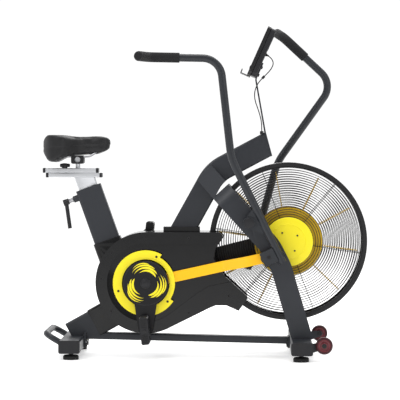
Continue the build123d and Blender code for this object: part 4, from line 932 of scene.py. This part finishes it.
@dataclass
class Cranks:
    """The crankset: axle, dark discs and arms with yellow arcs, and the pedals."""

    bike: Bike
    centre: tuple[float, float] = (-225.0, 285.5)
    face_y: float = 123.0
    disc_radius: float = 88.0
    cap_radius: float = 20.0
    length: float = 175.0
    pedal_y: float = 128.0
    pedal_length: float = 90.0
    pedal_width: float = 105.0
    pedal_height: float = 32.0
    arc_groups: tuple[float, ...] = (85.0, -25.0, 208.0)
    arcs: tuple[tuple[float, float, float, float], ...] = (
        (46.5, 44.0, -8.0, 9.0), (57.0, 50.0, 4.0, 8.0), (66.5, 42.0, 14.0, 6.5), (74.5, 27.0, 20.0, 4.5))

    def build(self) -> None:
        """Dress the crankset and both pedals."""
        self.bike.refine("crank_axle", Finish.STEEL, 0.6)
        self.bike.refine("crank_pulley", Finish.TRIM, 0.8)
        self.bike.refine("jackshaft", Finish.STEEL, 0.5)
        self.bike.refine("fan_pulley", Finish.STEEL, 0.5)
        for side in (-1, 1):
            self.arm(side)
            self.arcs_on(side)
            self.pedal(side)

    def arm(self, side: int) -> None:
        """The disc and arm, with a domed cap over the axle."""
        name = side_name(side)
        self.bike.refine(f"crank_arm_{name}", self.arm_finish, 1.6)
        cap = [(self.cap_radius, 0.0), (self.cap_radius, 1.6), (18.4, 3.0), (16.6, 3.4), (15.8, 2.6),
               (14.4, 2.7), (12.0, 4.0), (8.0, 5.2), (3.5, 5.8), (0.0, 5.9)]
        origin = (self.centre[0], side * self.face_y, self.centre[1])
        self.bike.place(f"crank_cap_{name}", Shape().lathe(cap, origin, (0, side, 0)).mesh("cap"),
                        Finish.TRIM, "crankset")
        ring = [(self.disc_radius - 6, 0.0), (self.disc_radius - 5, 0.9), (self.disc_radius - 3.4, 0.9),
                (self.disc_radius - 2.4, 0.0), (self.disc_radius - 6, 0.0)]
        self.bike.place(f"crank_disc_rim_{name}", Shape().lathe(ring, origin, (0, side, 0), 96).mesh("rim"),
                        Finish.TRIM, "crankset")

    def arm_finish(self, low: Vector, high: Vector) -> Finish | None:
        """Dark arms and steel spindles; the caps are turned apart."""
        width = high.x - low.x
        if width < 2 * self.cap_radius - 20:
            return Finish.STEEL
        return None if width < 2 * self.cap_radius + 1 else Finish.DISC

    def arcs_on(self, side: int) -> None:
        """Three groups of plain tapered arcs round the cap."""
        shape = Shape()
        for group in self.arc_groups:
            for radius, reach, shift, width in self.arcs:
                steps = 18
                outer, inner = [], []
                for step in range(steps + 1):
                    share = step / steps
                    half = width / 2 * math.sin(math.pi * share ** 0.7) + 0.12
                    turn = math.radians(group - reach + 2 * reach * share + shift)
                    sway = radius + 4.0 * math.sin(math.pi * share)
                    outer.append((self.centre[0] + (sway + half) * math.cos(turn),
                                  self.centre[1] + (sway + half) * math.sin(turn)))
                    inner.append((self.centre[0] + (sway - half) * math.cos(turn),
                                  self.centre[1] + (sway - half) * math.sin(turn)))
                near, far = sorted((side * (self.face_y - 0.2), side * (self.face_y + 0.5)))
                shape.prism(outer + inner[::-1], near, far)
        self.bike.place(f"crank_arcs_{side_name(side)}", shape.mesh("arcs"), Finish.YELLOW, "crankset")

    def pedal(self, side: int) -> None:
        """A moulded pedal with studs, two ribbed edge treads, a ribbed end and a capped bearing."""
        name = side_name(side)
        body = f"{name}_pedal"
        lean = math.radians(96.0 if side < 0 else 84.0)
        middle = Vector((self.centre[0], 0.0, self.centre[1] - (self.length if side < 0 else -self.length)))
        along = Vector((math.cos(lean), 0.0, math.sin(lean)))
        up = Vector((-math.sin(lean), 0.0, math.cos(lean)))
        self.bike.refine(f"pedal_{name}", Finish.TRIM, 1.4)
        profile = [(3.4, 0.0), (3.2, 0.6), (2.1, 1.2), (1.5, 2.4), (0.0, 2.6)]
        stud = Shape().lathe(profile, (0, 0, 0), (0, 0, 1), 10).mesh("stud")
        for turn, face in enumerate((1, -1)):
            spots = []
            for end in (-1, 1):
                for step in range(7):
                    offset = side * (self.pedal_y + 9.0 + step * (self.pedal_length - 18.0) / 6)
                    spots.append(middle + along * end * (self.pedal_width / 2 - 4.4) * 0.985
                                 + up * face * (self.pedal_height / 2 - 2.6) + Vector((0, offset, 0)))
            self.bike.place(f"pedal_studs_{name}_{turn + 1}", repeated(
                "studs", stud.copy(), spots, up * face, Finish.STEEL), Finish.STEEL, body)
        for end in (-1, 1):
            centre = middle + along * end * (self.pedal_width / 2 - 0.4)
            near, far = self.pedal_y + 22.0, self.pedal_y + self.pedal_length - 22.0
            corners = [centre + along * end * depth + up * rise
                       for depth, rise in ((-2.0, -9.0), (1.0, -9.0), (1.6, 0.0), (1.0, 9.0), (-2.0, 9.0))]
            low, high = sorted((side * near, side * far))
            bar = Shape().prism([(point.x, point.z) for point in corners], low, high).mesh("tread")
            self.bike.place(f"pedal_tread_{name}_{'front' if end > 0 else 'rear'}", bar, Finish.RUBBER,
                            body, bevel=0.8)
        ribs = Shape()
        for step in range(-6, 7):
            if abs(step) < 2:
                continue
            centre = middle + along * step * 7.2
            near, far = sorted((side * (self.pedal_y + self.pedal_length - 0.4),
                                side * (self.pedal_y + self.pedal_length + 0.9)))
            corners = [centre + along * wide + up * rise
                       for wide, rise in ((-1.6, -11.0), (1.6, -11.0), (1.6, 11.0), (-1.6, 11.0))]
            ribs.prism([(point.x, point.z) for point in corners], near, far)
        self.bike.place(f"pedal_end_ribs_{name}", ribs.mesh("ribs"), Finish.RUBBER, body, bevel=0.4)
        outer = (middle.x, side * (self.pedal_y + self.pedal_length - 0.2), middle.z)
        cap = [(8.5, 0.0), (8.5, 0.8), (7.2, 1.4), (3.0, 1.9), (0.0, 2.0)]
        self.bike.place(f"pedal_bearing_cap_{name}", Shape().lathe(cap, outer, (0, side, 0), 32).mesh("cap"),
                        Finish.BOLT, body)


# ---------------------------------------------------------------- fan
@dataclass
class FanAndCage:
    """The fan, its wire cage and the cage's yellow caps."""

    bike: Bike
    centre: tuple[float, float] = (325.0, 445.0)
    wire: float = 2.6
    first_ring: float = 106.0
    pitch: float = 9.0
    rings: int = 20
    flat_y: float = 60.7
    flat_radius: float = 235.0
    edge_y: float = 36.7
    edge_radius: float = 290.0
    plate_radius: float = 97.0
    bars: int = 6
    first_bar: float = 50.5
    blades: int = 10
    first_blade: float = 28.0
    blade_root: float = 32.0
    blade_shoulder: float = 192.0
    blade_tip: float = 272.0
    cap_y: float = 88.0
    cap_screw_radius: float = 42.0
    cap_screw_angle: float = -55.0

    def build(self) -> None:
        """Make the fan and both sides of the cage."""
        self.bike.refine("cage_rim", Finish.CAGE, 0.6)
        self.bike.refine("fan_wheel", Finish.FAN, 0.5, self.shaft)
        self.fan_blades()
        self.bike.refine("cage_caps", Finish.YELLOW, 0.8)
        for side in (-1, 1):
            self.wires(side)
            self.plates(side)
        spots = [Vector((self.centre[0], -self.cap_y, self.centre[1]))
                 + self.cap_screw_radius * direction(self.cap_screw_angle + 90.0 * step) for step in range(4)]
        self.bike.place("cage_cap_screws", repeated("cap_screws", socket_head(3.6, 2.0), spots, (0, -1, 0),
                                                    Finish.BOLT), Finish.BOLT, "frame")
        rib = [(66.0, 0.0), (66.8, 0.8), (68.4, 0.8), (69.2, 0.0), (66.0, 0.0)]
        centre = (self.centre[0], -self.cap_y, self.centre[1])
        self.bike.place("cage_cap_rib", Shape().lathe(rib, centre, (0, -1, 0), 96).mesh("rib"), Finish.YELLOW,
                        "frame")

    def shaft(self, middle: Vector) -> Finish | None:
        """The bare ends of the fan's shaft."""
        away = math.hypot(middle.x - self.centre[0], middle.z - self.centre[1])
        return Finish.STEEL if away < 11.0 and abs(middle.y) > 50.5 else None

    def dish(self, rule: Rule, radius: Any) -> Any:
        """The y of the cage at a radius, in a rule: flat, then sloping to the rim."""
        past = rule.maths("MAXIMUM", rule.maths("SUBTRACT", radius, rule.want("Flat Radius")), 0.0)
        drop = rule.maths("MULTIPLY", past, rule.want("Slope"))
        return rule.maths("MULTIPLY", rule.maths("SUBTRACT", rule.want("Flat Y"), drop), rule.want("Side"))

    def wires(self, side: int) -> None:
        """Rings at an even pitch, and the bars that carry them."""
        name = f"cage_wires_{side_name(side)}"
        slope = (self.flat_y - self.edge_y) / (self.edge_radius - self.flat_radius)
        rule = Rule(name, Rings=self.rings, First_Ring=self.first_ring * MM, Pitch=self.pitch * MM,
                    Wire=self.wire / 2 * MM, Flat_Radius=self.flat_radius * MM, Flat_Y=self.flat_y * MM,
                    Slope=slope, Side=float(side), Bars=self.bars, First_Bar=math.radians(-self.first_bar),
                    Inner=self.plate_radius * MM, Outer=self.edge_radius * MM,
                    Centre=(self.centre[0] * MM, 0.0, self.centre[1] * MM), Material=Finish.CAGE.material)
        index = rule.node("GeometryNodeInputIndex")
        radius = rule.maths("ADD", rule.want("First Ring"), rule.maths("MULTIPLY", index, rule.want("Pitch")))
        line = rule.node("GeometryNodeMeshLine", {}, {"Count": rule.want("Rings")})
        place = rule.node("ShaderNodeVectorMath", {"operation": "ADD"}, {
            0: rule.want("Centre"), 1: rule.vector(y=self.dish(rule, radius))})
        points = rule.node("GeometryNodeSetPosition", {}, {"Geometry": line, "Position": place})
        circle = rule.node("GeometryNodeCurvePrimitiveCircle", {"mode": "RADIUS"},
                           {"Resolution": 120, "Radius": 1.0})
        hoops = rule.node("GeometryNodeInstanceOnPoints", {}, {
            "Points": points, "Instance": circle, "Rotation": (math.pi / 2, 0.0, 0.0), "Scale": radius})
        ray = rule.node("GeometryNodeCurvePrimitiveLine", {}, {
            "Start": rule.vector(x=rule.want("Inner")), "End": rule.vector(x=rule.want("Outer"))})
        ray = rule.node("GeometryNodeResampleCurve", {}, {"Curve": ray, "Count": 40})
        reach = rule.node("ShaderNodeSeparateXYZ", {}, {0: rule.node("GeometryNodeInputPosition")})
        inside = rule.maths("SUBTRACT", self.dish(rule, reach), rule.maths(
            "MULTIPLY", rule.want("Side"), rule.maths("MULTIPLY", rule.want("Wire"), 1.4)))
        ray = rule.node("GeometryNodeSetPosition", {},
                        {"Geometry": ray, "Position": rule.vector(reach, inside)})
        hub = rule.node("GeometryNodeMeshLine", {}, {"Count": rule.want("Bars")})
        hub = rule.node("GeometryNodeSetPosition", {}, {"Geometry": hub, "Position": rule.want("Centre")})
        part = rule.maths("DIVIDE", rule.maths("MULTIPLY", index, math.tau), rule.want("Bars"))
        turn = rule.vector(y=rule.maths("ADD", part, rule.want("First Bar")))
        spokes = rule.node("GeometryNodeInstanceOnPoints", {},
                           {"Points": hub, "Instance": ray, "Rotation": turn})
        both = rule.tree.nodes.new("GeometryNodeJoinGeometry")
        for item in (spokes, hoops):
            rule.tree.links.new(item, both.inputs[0])
        curves = rule.node("GeometryNodeRealizeInstances", {}, {0: both.outputs[0]})
        curves = rule.node("GeometryNodeSetCurveRadius", {}, {"Curve": curves, "Radius": 1.0})
        section = rule.node("GeometryNodeCurvePrimitiveCircle", {"mode": "RADIUS"},
                            {"Resolution": 6, "Radius": rule.want("Wire")})
        wires = rule.node("GeometryNodeCurveToMesh", {}, {"Curve": curves, "Profile Curve": section,
                                                          "Fill Caps": True})
        mesh = rule.made(wires, name)
        stands_for = ("cage_grilles",) if side < 0 else ()
        self.bike.place(name, mesh, Finish.CAGE, "frame", stands_for)

    def plates(self, side: int) -> None:
        """The plate in the middle of the wires and the hoop that ends them."""
        origin = (self.centre[0], 0.0, self.centre[1])
        low, high = self.flat_y - 1.2, self.flat_y + 1.3
        middle = [(14.0, low), (self.plate_radius, low), (self.plate_radius, high - 0.5),
                  (self.plate_radius - 0.6, high), (14.0, high), (14.0, low)]
        edge = [(self.edge_radius - 5, self.edge_y - 1), (self.edge_radius, self.edge_y - 1),
                (self.edge_radius, self.edge_y + 1.2), (self.edge_radius - 5, self.edge_y + 3.2),
                (self.edge_radius - 5, self.edge_y - 1)]
        shape = Shape().lathe(middle, origin, (0, side, 0), 96).lathe(edge, origin, (0, side, 0), 128)
        self.bike.place(f"cage_plates_{side_name(side)}", shape.mesh("plates"), Finish.CAGE, "frame")

    def fan_blades(self) -> None:
        """Pressed sheet blades with a stiffening bead and folded long edges."""
        rows = []
        for share in [step / 24 for step in range(25)]:
            reach = self.blade_root + (self.blade_tip - self.blade_root) * share
            past = (reach - self.blade_shoulder) / (self.blade_tip - self.blade_shoulder)
            half = 48.0 - 20.0 * max(0.0, past)
            upper, lower = [], []
            for across in [step / 16 for step in range(17)]:
                y = -half + 2 * half * across
                bead = 2.2 * math.exp(-((y / 7.0) ** 2)) * min(1.0, 6.0 * share * (1 - share))
                fold = 1.6 * max(0.0, abs(y) / half - 0.86) / 0.14
                upper.append(Vector((reach, y, bead + fold + 0.7)))
                lower.append(Vector((reach, y, bead + fold - 0.7)))
            rows.append(upper + lower[::-1])
        blade = Shape().loft(rows).mesh("blade")
        rule = Rule("fan_blades", Blade=linked("blade_sample", blade), Blades=self.blades,
                    First_Blade=math.radians(-self.first_blade),
                    Centre=(self.centre[0] * MM, 0.0, self.centre[1] * MM), Material=Finish.FAN.material)
        line = rule.node("GeometryNodeMeshLine", {}, {"Count": rule.want("Blades")})
        points = rule.node("GeometryNodeSetPosition", {}, {"Geometry": line, "Position": rule.want("Centre")})
        part = rule.maths("DIVIDE", rule.maths("MULTIPLY", rule.node("GeometryNodeInputIndex"), math.tau),
                          rule.want("Blades"))
        turn = rule.vector(y=rule.maths("ADD", part, rule.want("First Blade")))
        sheet = rule.node("GeometryNodeObjectInfo", {}, {"Object": rule.want("Blade")}, "Geometry")
        wheel = rule.node("GeometryNodeInstanceOnPoints", {}, {"Points": points, "Instance": sheet,
                                                               "Rotation": turn})
        mesh = rule.made(wheel, "fan_blades_pressed")
        bpy.data.objects.remove(bpy.data.objects["blade_sample"])
        self.bike.place("fan_blades_pressed", mesh, Finish.FAN, "fan", ("fan_blades",))


# ---------------------------------------------------------------- arms and rods
@dataclass
class SwingArms:
    """The two swing arms with their foam grips, and the rods that join them to the cranks."""

    bike: Bike
    pivot: tuple[float, float] = (172.8, 521.8)
    swing: float = 42.0
    grip_end: Point = (-244.0, -290.0, 1152.0)
    grip_heading: Point = (-37.0, -106.0, 0.0)
    grip_radius: float = 19.0
    rod_pin: tuple[float, float] = (240.6, 388.4)
    block_near: float = 158.5
    block_far: float = 200.5
    block_middle: tuple[float, float] = (249.0, 391.0)
    block_half: float = 28.0
    block_lean: float = 116.4
    cap_y: float = 202.0

    def build(self) -> None:
        """Dress both arms, their grips and their rods."""
        for side in (-1, 1):
            name = side_name(side)
            self.bike.refine(f"swing_arm_{name}", Finish.ARM, 0.8)
            self.bike.refine(f"grip_{name}", Finish.FOAM, 0.0)
            self.bike.refine(f"link_rod_{name}", Finish.ORANGE, 1.2)
            self.grip_cap(side)
            self.pivot_cap(side)
            self.block(side)
            spot = self.turned((self.rod_pin[0] + 8.0, -self.block_far, self.rod_pin[1] + 3.0), side)
            mesh = repeated("pin_screw", socket_head(7.0, 4.0), [spot], (0, side, 0), Finish.BOLT)
            self.bike.place(f"rod_pin_screw_{name}", mesh, Finish.BOLT, f"{name}_arm")

    def turned(self, point: Point, side: int, free: bool = False) -> Vector:
        """A point or a free direction of the right arm, on the arm of either side at rest."""
        x, y, z = point
        if side < 0:
            return Vector(point)
        turn = math.radians(self.swing)
        dx, dz = (x, z) if free else (x - self.pivot[0], z - self.pivot[1])
        moved = (dx * math.cos(turn) + dz * math.sin(turn), -y, dz * math.cos(turn) - dx * math.sin(turn))
        if free:
            return Vector(moved)
        return Vector((moved[0] + self.pivot[0], moved[1], moved[2] + self.pivot[1]))

    def block(self, side: int) -> None:
        """The square clamp block that holds the rod's pin on the arm."""
        along, across = direction(self.block_lean), direction(self.block_lean - 90.0)
        rows = []
        for y in (-self.block_near, -self.block_far):
            middle = Vector((self.block_middle[0], y, self.block_middle[1]))
            corners = [middle + along * up * self.block_half + across * out * self.block_half
                       for up, out in ((-1, -1), (1, -1), (1, 1), (-1, 1))]
            rows.append([self.turned(tuple(corner), side) for corner in corners])
        self.bike.place(f"rod_clamp_block_{side_name(side)}", Shape().loft(rows).mesh("block"), Finish.ARM,
                        f"{side_name(side)}_arm", bevel=4.0)

    def grip_cap(self, side: int) -> None:
        """A moulded collar and dome that end the grip."""
        centre = self.turned(self.grip_end, side)
        heading = self.turned(self.grip_heading, side, True).normalized()
        radius = self.grip_radius
        profile = [(radius - 2.0, -11.0), (radius - 0.7, -9.8), (radius - 0.7, -4.2), (radius - 1.0, -2.6),
                   (radius - 2.6, -1.2), (radius - 4.0, -0.6), (radius - 5.0, -1.4), (radius - 6.2, -1.4),
                   (radius - 7.2, -0.5), (4.0, -0.2), (0.0, -0.2)]
        centre -= heading * 0.4
        mesh = Shape().lathe(profile, centre, heading, 48).mesh("cap")
        self.bike.place(f"grip_cap_{side_name(side)}", mesh, Finish.TRIM, f"{side_name(side)}_arm")

    def pivot_cap(self, side: int) -> None:
        """A domed cap over the arm's pivot."""
        origin = (self.pivot[0], side * self.cap_y, self.pivot[1])
        profile = [(19.0, 0.0), (19.0, 2.2), (18.2, 3.3), (15.0, 4.2), (8.0, 5.0), (0.0, 5.2)]
        mesh = Shape().lathe(profile, origin, (0, side, 0), 48).mesh("cap")
        self.bike.place(f"pivot_cap_{side_name(side)}", mesh, Finish.TRIM, "frame")


# ---------------------------------------------------------------- seat
@dataclass
class Seat:
    """The seat mast with its sliding bar, knob, clamp, lever and padded saddle."""

    bike: Bike
    lower_bar: tuple[float, float, float, float] = (-619.0, -399.0, 692.6, 709.6)
    upper_bar: tuple[float, float, float, float] = (-631.0, -413.0, 709.9, 727.9)
    bar_width: float = 42.0
    cap_length: float = 11.0
    seam_depth: float = 1.5
    seam_width: float = 3.2
    channel_front: float = -400.0
    channel_fade: float = 60.0
    channel_depth: float = 2.6
    channel_width: float = 9.0
    cap_proud: float = 0.02
    knob_x: float = -547.0
    knob_low: float = 731.9
    knob_radius: float = 21.0
    stud_root: tuple[float, float] = (-445.78, 628.41)
    stud_angle: float = 199.6
    voxel: float = 5.0
    swell: float = 6.0
    stitches: int = 150

    def build(self) -> None:
        """Dress the mast and make the saddle."""
        self.bike.refine("seat_post", Finish.ALUMINIUM, 1.0)
        self.bike.refine("seat_slider", Finish.ALUMINIUM, 1.0)
        self.bike.refine("saddle_clamp", Finish.BOLT, 1.2)
        self.bike.refine("seat_lever", Finish.TRIM, 1.6)
        for label, bar, body in (("lower", self.lower_bar, "seat_mast"),
                                 ("upper", self.upper_bar, "seat_carriage")):
            for end, inward in (("rear", 1), ("front", -1)):
                self.bar_cap(f"bar_cap_{label}_{end}", bar, inward, body)
        self.collar()
        self.knob()
        self.rails()
        self.saddle()

    def bar_cap(self, name: str, bar: tuple[float, float, float, float], inward: int, body: str) -> None:
        """A moulded plug over one end of a bar."""
        low_x, high_x, low_z, high_z = bar
        tip = low_x - self.cap_proud if inward > 0 else high_x + self.cap_proud
        near, far = sorted((tip, tip + inward * self.cap_length))
        grow = 0.7 if "upper" in name else 0.0
        bottom, top = low_z - 0.7 + grow, high_z + grow
        corners = [(near, bottom), (far, bottom), (far, top), (near, top)]
        half = self.bar_width / 2 + 0.8
        self.bike.place(name, Shape().prism(corners, -half, half).mesh("cap"), Finish.TRIM, body, bevel=1.8)

    def collar(self) -> None:
        """A bright collar on the clamp lever's stud."""
        heading = direction(self.stud_angle)
        origin = Vector((self.stud_root[0], 0.0, self.stud_root[1]))
        profile = [(5.2, 71.0), (8.6, 71.0), (9.2, 72.0), (9.2, 76.0), (8.0, 78.0), (8.0, 84.0), (9.2, 86.0),
                   (9.2, 88.4), (8.6, 89.4), (5.2, 89.4), (5.2, 71.0)]
        self.bike.place("lever_collar", Shape().lathe(profile, origin, heading, 40).mesh("collar"),
                        Finish.STEEL, "mast_lever")

    def knob(self) -> None:
        """A five-lobed knob with soft finger hollows and a cap."""
        rows = []
        levels = ((0.0, 0.80), (1.2, 0.95), (4.0, 1.0), (9.5, 1.0), (12.4, 0.94), (13.6, 0.82), (14.0, 0.6))
        for level, scale in levels:
            row = []
            for step in range(80):
                turn = math.tau * step / 80
                lobe = 0.86 + 0.14 * math.cos(5 * turn)
                size = self.knob_radius * lobe * scale
                row.append(Vector((self.knob_x + size * math.cos(turn), size * math.sin(turn),
                                   self.knob_low + level)))
            rows.append(row)
        shape = Shape().loft(rows)
        top = [(9.0, 13.6), (9.0, 14.6), (8.2, 15.2), (0.0, 15.5)]
        shape.lathe(top, (self.knob_x, 0.0, self.knob_low), (0, 0, 1), 40)
        foot = [(11.0, -3.6), (11.0, 0.4), (0.0, 0.4)]
        shape.lathe(foot, (self.knob_x, 0.0, self.knob_low), (0, 0, 1), 40)
        self.bike.place("star_knob", shape.mesh("knob"), Finish.TRIM, "carriage_knob", ("slide_knob",))

    def rails(self) -> None:
        """The saddle's steel rails, from the CAD node without its pad."""
        self.bike.refine("saddle", lambda low, high: Finish.STEEL if high.y - low.y < 20.0 else None, 0.0)

    def pad(self) -> bpy.types.Mesh:
        """The saddle's pad, from the CAD node's largest solid."""
        work = bmesh.new()
        work.from_mesh(self.bike.frame["nodes"]["saddle"].data)
        bmesh.ops.remove_doubles(work, verts=work.verts, dist=2e-6)
        groups = sorted(islands(work), key=len)
        for group in sorted(groups, key=lambda faces: extent(faces)[1].y - extent(faces)[0].y)[:-1]:
            bmesh.ops.delete(work, geom=group, context="FACES")
        mesh = bpy.data.meshes.new("saddle_pad")
        work.to_mesh(mesh)
        work.free()
        return mesh

    def saddle(self) -> None:
        """Round the pad, swell it as stuffed vinyl by cloth simulation, then seam and stitch it."""
        mesh = self.pad()
        low, high = (Vector(corner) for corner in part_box("saddle"))
        piece = linked("saddle_pad", mesh)
        remesh = piece.modifiers.new("voxels", "REMESH")
        remesh.mode, remesh.voxel_size = "VOXEL", self.voxel * MM
        settle(piece)
        relax = piece.modifiers.new("relax", "SMOOTH")
        relax.factor, relax.iterations = 0.6, 16
        settle(piece)
        before = [vert.co.copy() for vert in piece.data.vertices]
        cloth = piece.modifiers.new("stuffing", "CLOTH")
        cloth.settings.use_pressure = True
        cloth.settings.uniform_pressure_force = 4.0
        cloth.settings.effector_weights.gravity = 0.0
        cloth.settings.tension_stiffness = cloth.settings.compression_stiffness = 40.0
        for step in range(1, 21):
            bpy.context.scene.frame_set(step)
        settle(piece)
        bpy.context.scene.frame_set(1)
        for vert, rest in zip(piece.data.vertices, before):
            move = vert.co - rest
            if move.length > self.swell * MM:
                vert.co = rest + move.normalized() * self.swell * MM
            for axis in range(3):
                vert.co[axis] = min(max(vert.co[axis], low[axis] + 0.0005), high[axis] - 0.0005)
        self.seam(piece)
        subdivide = piece.modifiers.new("subdivision", "SUBSURF")
        subdivide.levels = subdivide.render_levels = 1
        settle(piece)
        piece.data.materials.clear()
        piece.data.materials.append(Finish.VINYL.material)
        piece.data.shade_smooth()
        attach(piece, "seat_top")
        self.shell_edge(piece)
        LOG.info("piece saddle_pad on seat_top: %d faces", len(piece.data.polygons))

    def seam(self, piece: bpy.types.Object) -> None:
        """Press a seam into the pad where its side panels meet its top, and a shallow channel along it."""
        for vert in piece.data.vertices:
            x, y, z = vert.co / MM
            level = self.seam_height(x)
            depth = self.seam_depth * math.exp(-(((z - level) / self.seam_width) ** 2))
            if z > level and x < self.channel_front:
                run_out = min(1.0, (self.channel_front - x) / self.channel_fade)
                vert.co.z -= self.channel_depth * MM * math.exp(-((y / self.channel_width) ** 2)) * run_out
            vert.co -= vert.normal * depth * MM

    def seam_height(self, x: float) -> float:
        """The height of the side seam at a place along the saddle."""
        return 806.0 + 10.0 * max(0.0, min(1.0, (x + 560.0) / 150.0))

    def shell_edge(self, pad: bpy.types.Object) -> None:
        """The row of stitches above the seam."""
        cut = bmesh.new()
        cut.from_mesh(pad.data)
        rows: list[Vector] = []
        middle_x = -505.0
        for step in range(self.stitches):
            turn = math.tau * step / self.stitches
            best, found = 0.0, None
            for vert in cut.verts:
                x, y, z = vert.co / MM
                if abs(z - self.seam_height(x) - 5.0) > 2.2:
                    continue
                place = Vector((x - middle_x, y))
                score = place.length * math.cos(math.atan2(place.y, place.x) - turn)
                off = abs(math.remainder(math.atan2(place.y, place.x) - turn, math.tau))
                if off < 0.045 and score > best:
                    best, found = score, vert
            if found is not None:
                rows.append(found.co / MM + found.normal * 0.15)
        cut.free()
        profile = [(0.0, -0.2), (1.3, 0.0), (1.0, 0.5), (0.0, 0.7)]
        stitch = Shape().lathe(profile, (0, 0, 0), (0, 0, 1), 8).mesh("stitch")
        mesh = repeated("saddle_stitches", stitch, rows, (0, 0, 1), Finish.THREAD)
        self.bike.place("saddle_stitches", mesh, Finish.THREAD, "seat_top")


# ---------------------------------------------------------------- console
@dataclass
class Console:
    """The display on its bracket, its buttons and shelf, and the sensor cable."""

    bike: Bike
    low: tuple[float, float] = (164.0, 1090.0)
    tilt: float = 66.0
    thickness: float = 35.0
    cable_radius: float = 2.0
    cable_length: float = 338.0
    route: tuple[Point, ...] = (
        (237.05, -32, 1168.03), (255.32, -32, 1159.90), (269, -32, 1136), (258, -34, 1111), (238, -33, 1090),
        (217, -32, 1070), (201, -32, 1047), (193, -34, 1018), (196, -35, 989), (206, -34, 962),
        (215, -33, 934), (222, -32, 903), (222, -32, 872))

    def build(self) -> None:
        """Dress the display and lay the cable."""
        self.bike.refine("console_housing", Finish.TRIM, 3.0)
        self.bike.refine("console_front", Finish.BEZEL, 2.2)
        self.bike.refine("console_screen", Finish.GLASS, 0.4)
        self.bike.refine("tablet_shelf", Finish.TRIM, 1.0)
        for number in range(1, 4):
            self.bike.refine(f"console_button_{number}", Finish.RUBBER, 1.2)
        self.bike.refine("cable_fittings", Finish.TRIM, 1.0)
        self.details()
        self.cable()

    def spot(self, up: float, across: float, out: float) -> Vector:
        """A place on the console: along its face, across it and out of it."""
        along, outward = direction(self.tilt), direction(self.tilt + 90.0)
        return Vector((self.low[0], across, self.low[1])) + along * up + outward * out

    def plate(self, name: str, up: tuple[float, float], across: tuple[float, float],
              out: tuple[float, float], finish: Finish, bevel: float = 0.4) -> None:
        """A thin block on the console."""
        shape = Shape()
        rows = [[self.spot(length, width, level) for length, width in (
            (up[0], across[0]), (up[1], across[0]), (up[1], across[1]), (up[0], across[1]))] for level in out]
        self.bike.place(name, shape.loft(rows).mesh(name), finish, "frame", bevel=bevel)

    def details(self) -> None:
        """Display panel and its plain bar segments, vent ribs, battery door and socket collar."""
        self.plate("display_panel", (70.0, 174.0), (-48.0, 48.0), (-0.1, 0.25), Finish.LCD, 0.0)
        for row in range(4):
            up = 80.0 + row * 24.0
            self.plate(f"display_divider_{row + 1}", (up, up + 1.2), (-44.0, 44.0), (0.2, 0.45),
                       Finish.BEZEL, 0.0)
            for column, across in enumerate((-36.0, 6.0)):
                for digit in range(3):
                    left = across + digit * 9.5
                    self.plate(f"display_bar_{row + 1}_{column + 1}_{digit + 1}", (up + 5.0, up + 18.0),
                               (left, left + 6.0), (0.2, 0.45), Finish.BEZEL, 0.0)
        self.plate("battery_door", (120.0, 180.0), (-30.0, 30.0),
                   (-self.thickness - 1.2, -self.thickness + 0.5), Finish.TRIM, 0.6)
        for rib in range(5):
            up = 84.0 + rib * 5.0
            self.plate(f"vent_rib_{rib + 1}", (up, up + 2.0), (30.0, 62.0),
                       (-self.thickness - 0.8, -self.thickness + 0.5), Finish.TRIM, 0.3)
        inward = -direction(self.tilt + 90.0)
        profile = [(2.2, 0.0), (6.5, 0.0), (6.5, 2.0), (5.6, 3.2), (3.6, 8.0), (2.9, 13.0), (2.2, 13.0),
                   (2.2, 0.0)]
        origin = Vector(self.route[0]) - inward * 0.2
        self.bike.place("cable_strain_relief", Shape().lathe(profile, origin, inward, 28).mesh("relief"),
                        Finish.RUBBER, "frame")

    def cable(self) -> None:
        """The sensor cable, from the console's back to the gland on the main tube."""
        curve = bpy.data.curves.new("sensor_cable_cord", "CURVE")
        curve.dimensions = "3D"
        spline = curve.splines.new("NURBS")
        spline.points.add(len(self.route) - 1)
        for point, place in zip(spline.points, self.route):
            point.co = (*(Vector(place) * MM), 1.0)
        spline.order_u = 3
        spline.use_endpoint_u = True
        spline.resolution_u = 12
        curve.bevel_depth = self.cable_radius * MM
        curve.bevel_resolution = 4
        curve.use_fill_caps = True
        curve.materials.append(Finish.CORD.material)
        cord = linked("sensor_cable_cord", curve)
        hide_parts("sensor_cable")
        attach(cord, "frame")


# ---------------------------------------------------------------- fasteners
@dataclass
class Fasteners:
    """Flange bolts, foot nuts, wheel pins and studs; the round screw heads are made with their parts."""

    bike: Bike
    head_size: float = 11.0
    head_height: float = 2.6
    pivot_cap_size: float = 38.0
    pin_length: float = 20.0
    stud_top: float = 40.0
    wheel_side: float = 440.0

    def build(self) -> None:
        """Dress the fasteners that keep their CAD shape."""
        self.bike.refine("frame_fasteners", self.kind, 0.4)

    def kind(self, low: Vector, high: Vector) -> Finish | None:
        """Steel for pins and studs, dark for bolts, and none for the heads that other pieces stand for."""
        size = high - low
        round_head = (abs(size.x - size.z) < 0.5 and size.y < self.head_height
                      and size.x < self.head_size)
        pivot_cap = abs(size.x - self.pivot_cap_size) < 1.0
        if round_head or pivot_cap:
            return None
        bright = size.y > self.pin_length or high.z < self.stud_top or low.x > self.wheel_side
        return Finish.STEEL if bright else Finish.BOLT


def main() -> None:
    """Build the bike, piece by piece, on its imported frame."""
    logging.basicConfig(level=logging.INFO, format="%(name)s %(message)s")
    bpy.ops.object.select_all(action="SELECT")
    bpy.ops.object.delete()
    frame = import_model()
    bike = Bike(frame)
    Studio().build()
    assemblies = (Console, Framework, Feet, Wheels, Casing, Cranks, FanAndCage, SwingArms, Seat, Fasteners)
    for assembly in assemblies:
        assembly(bike).build()
    LOG.info("%d pieces placed", bike.count)


if __name__ == "__main__":
    main()
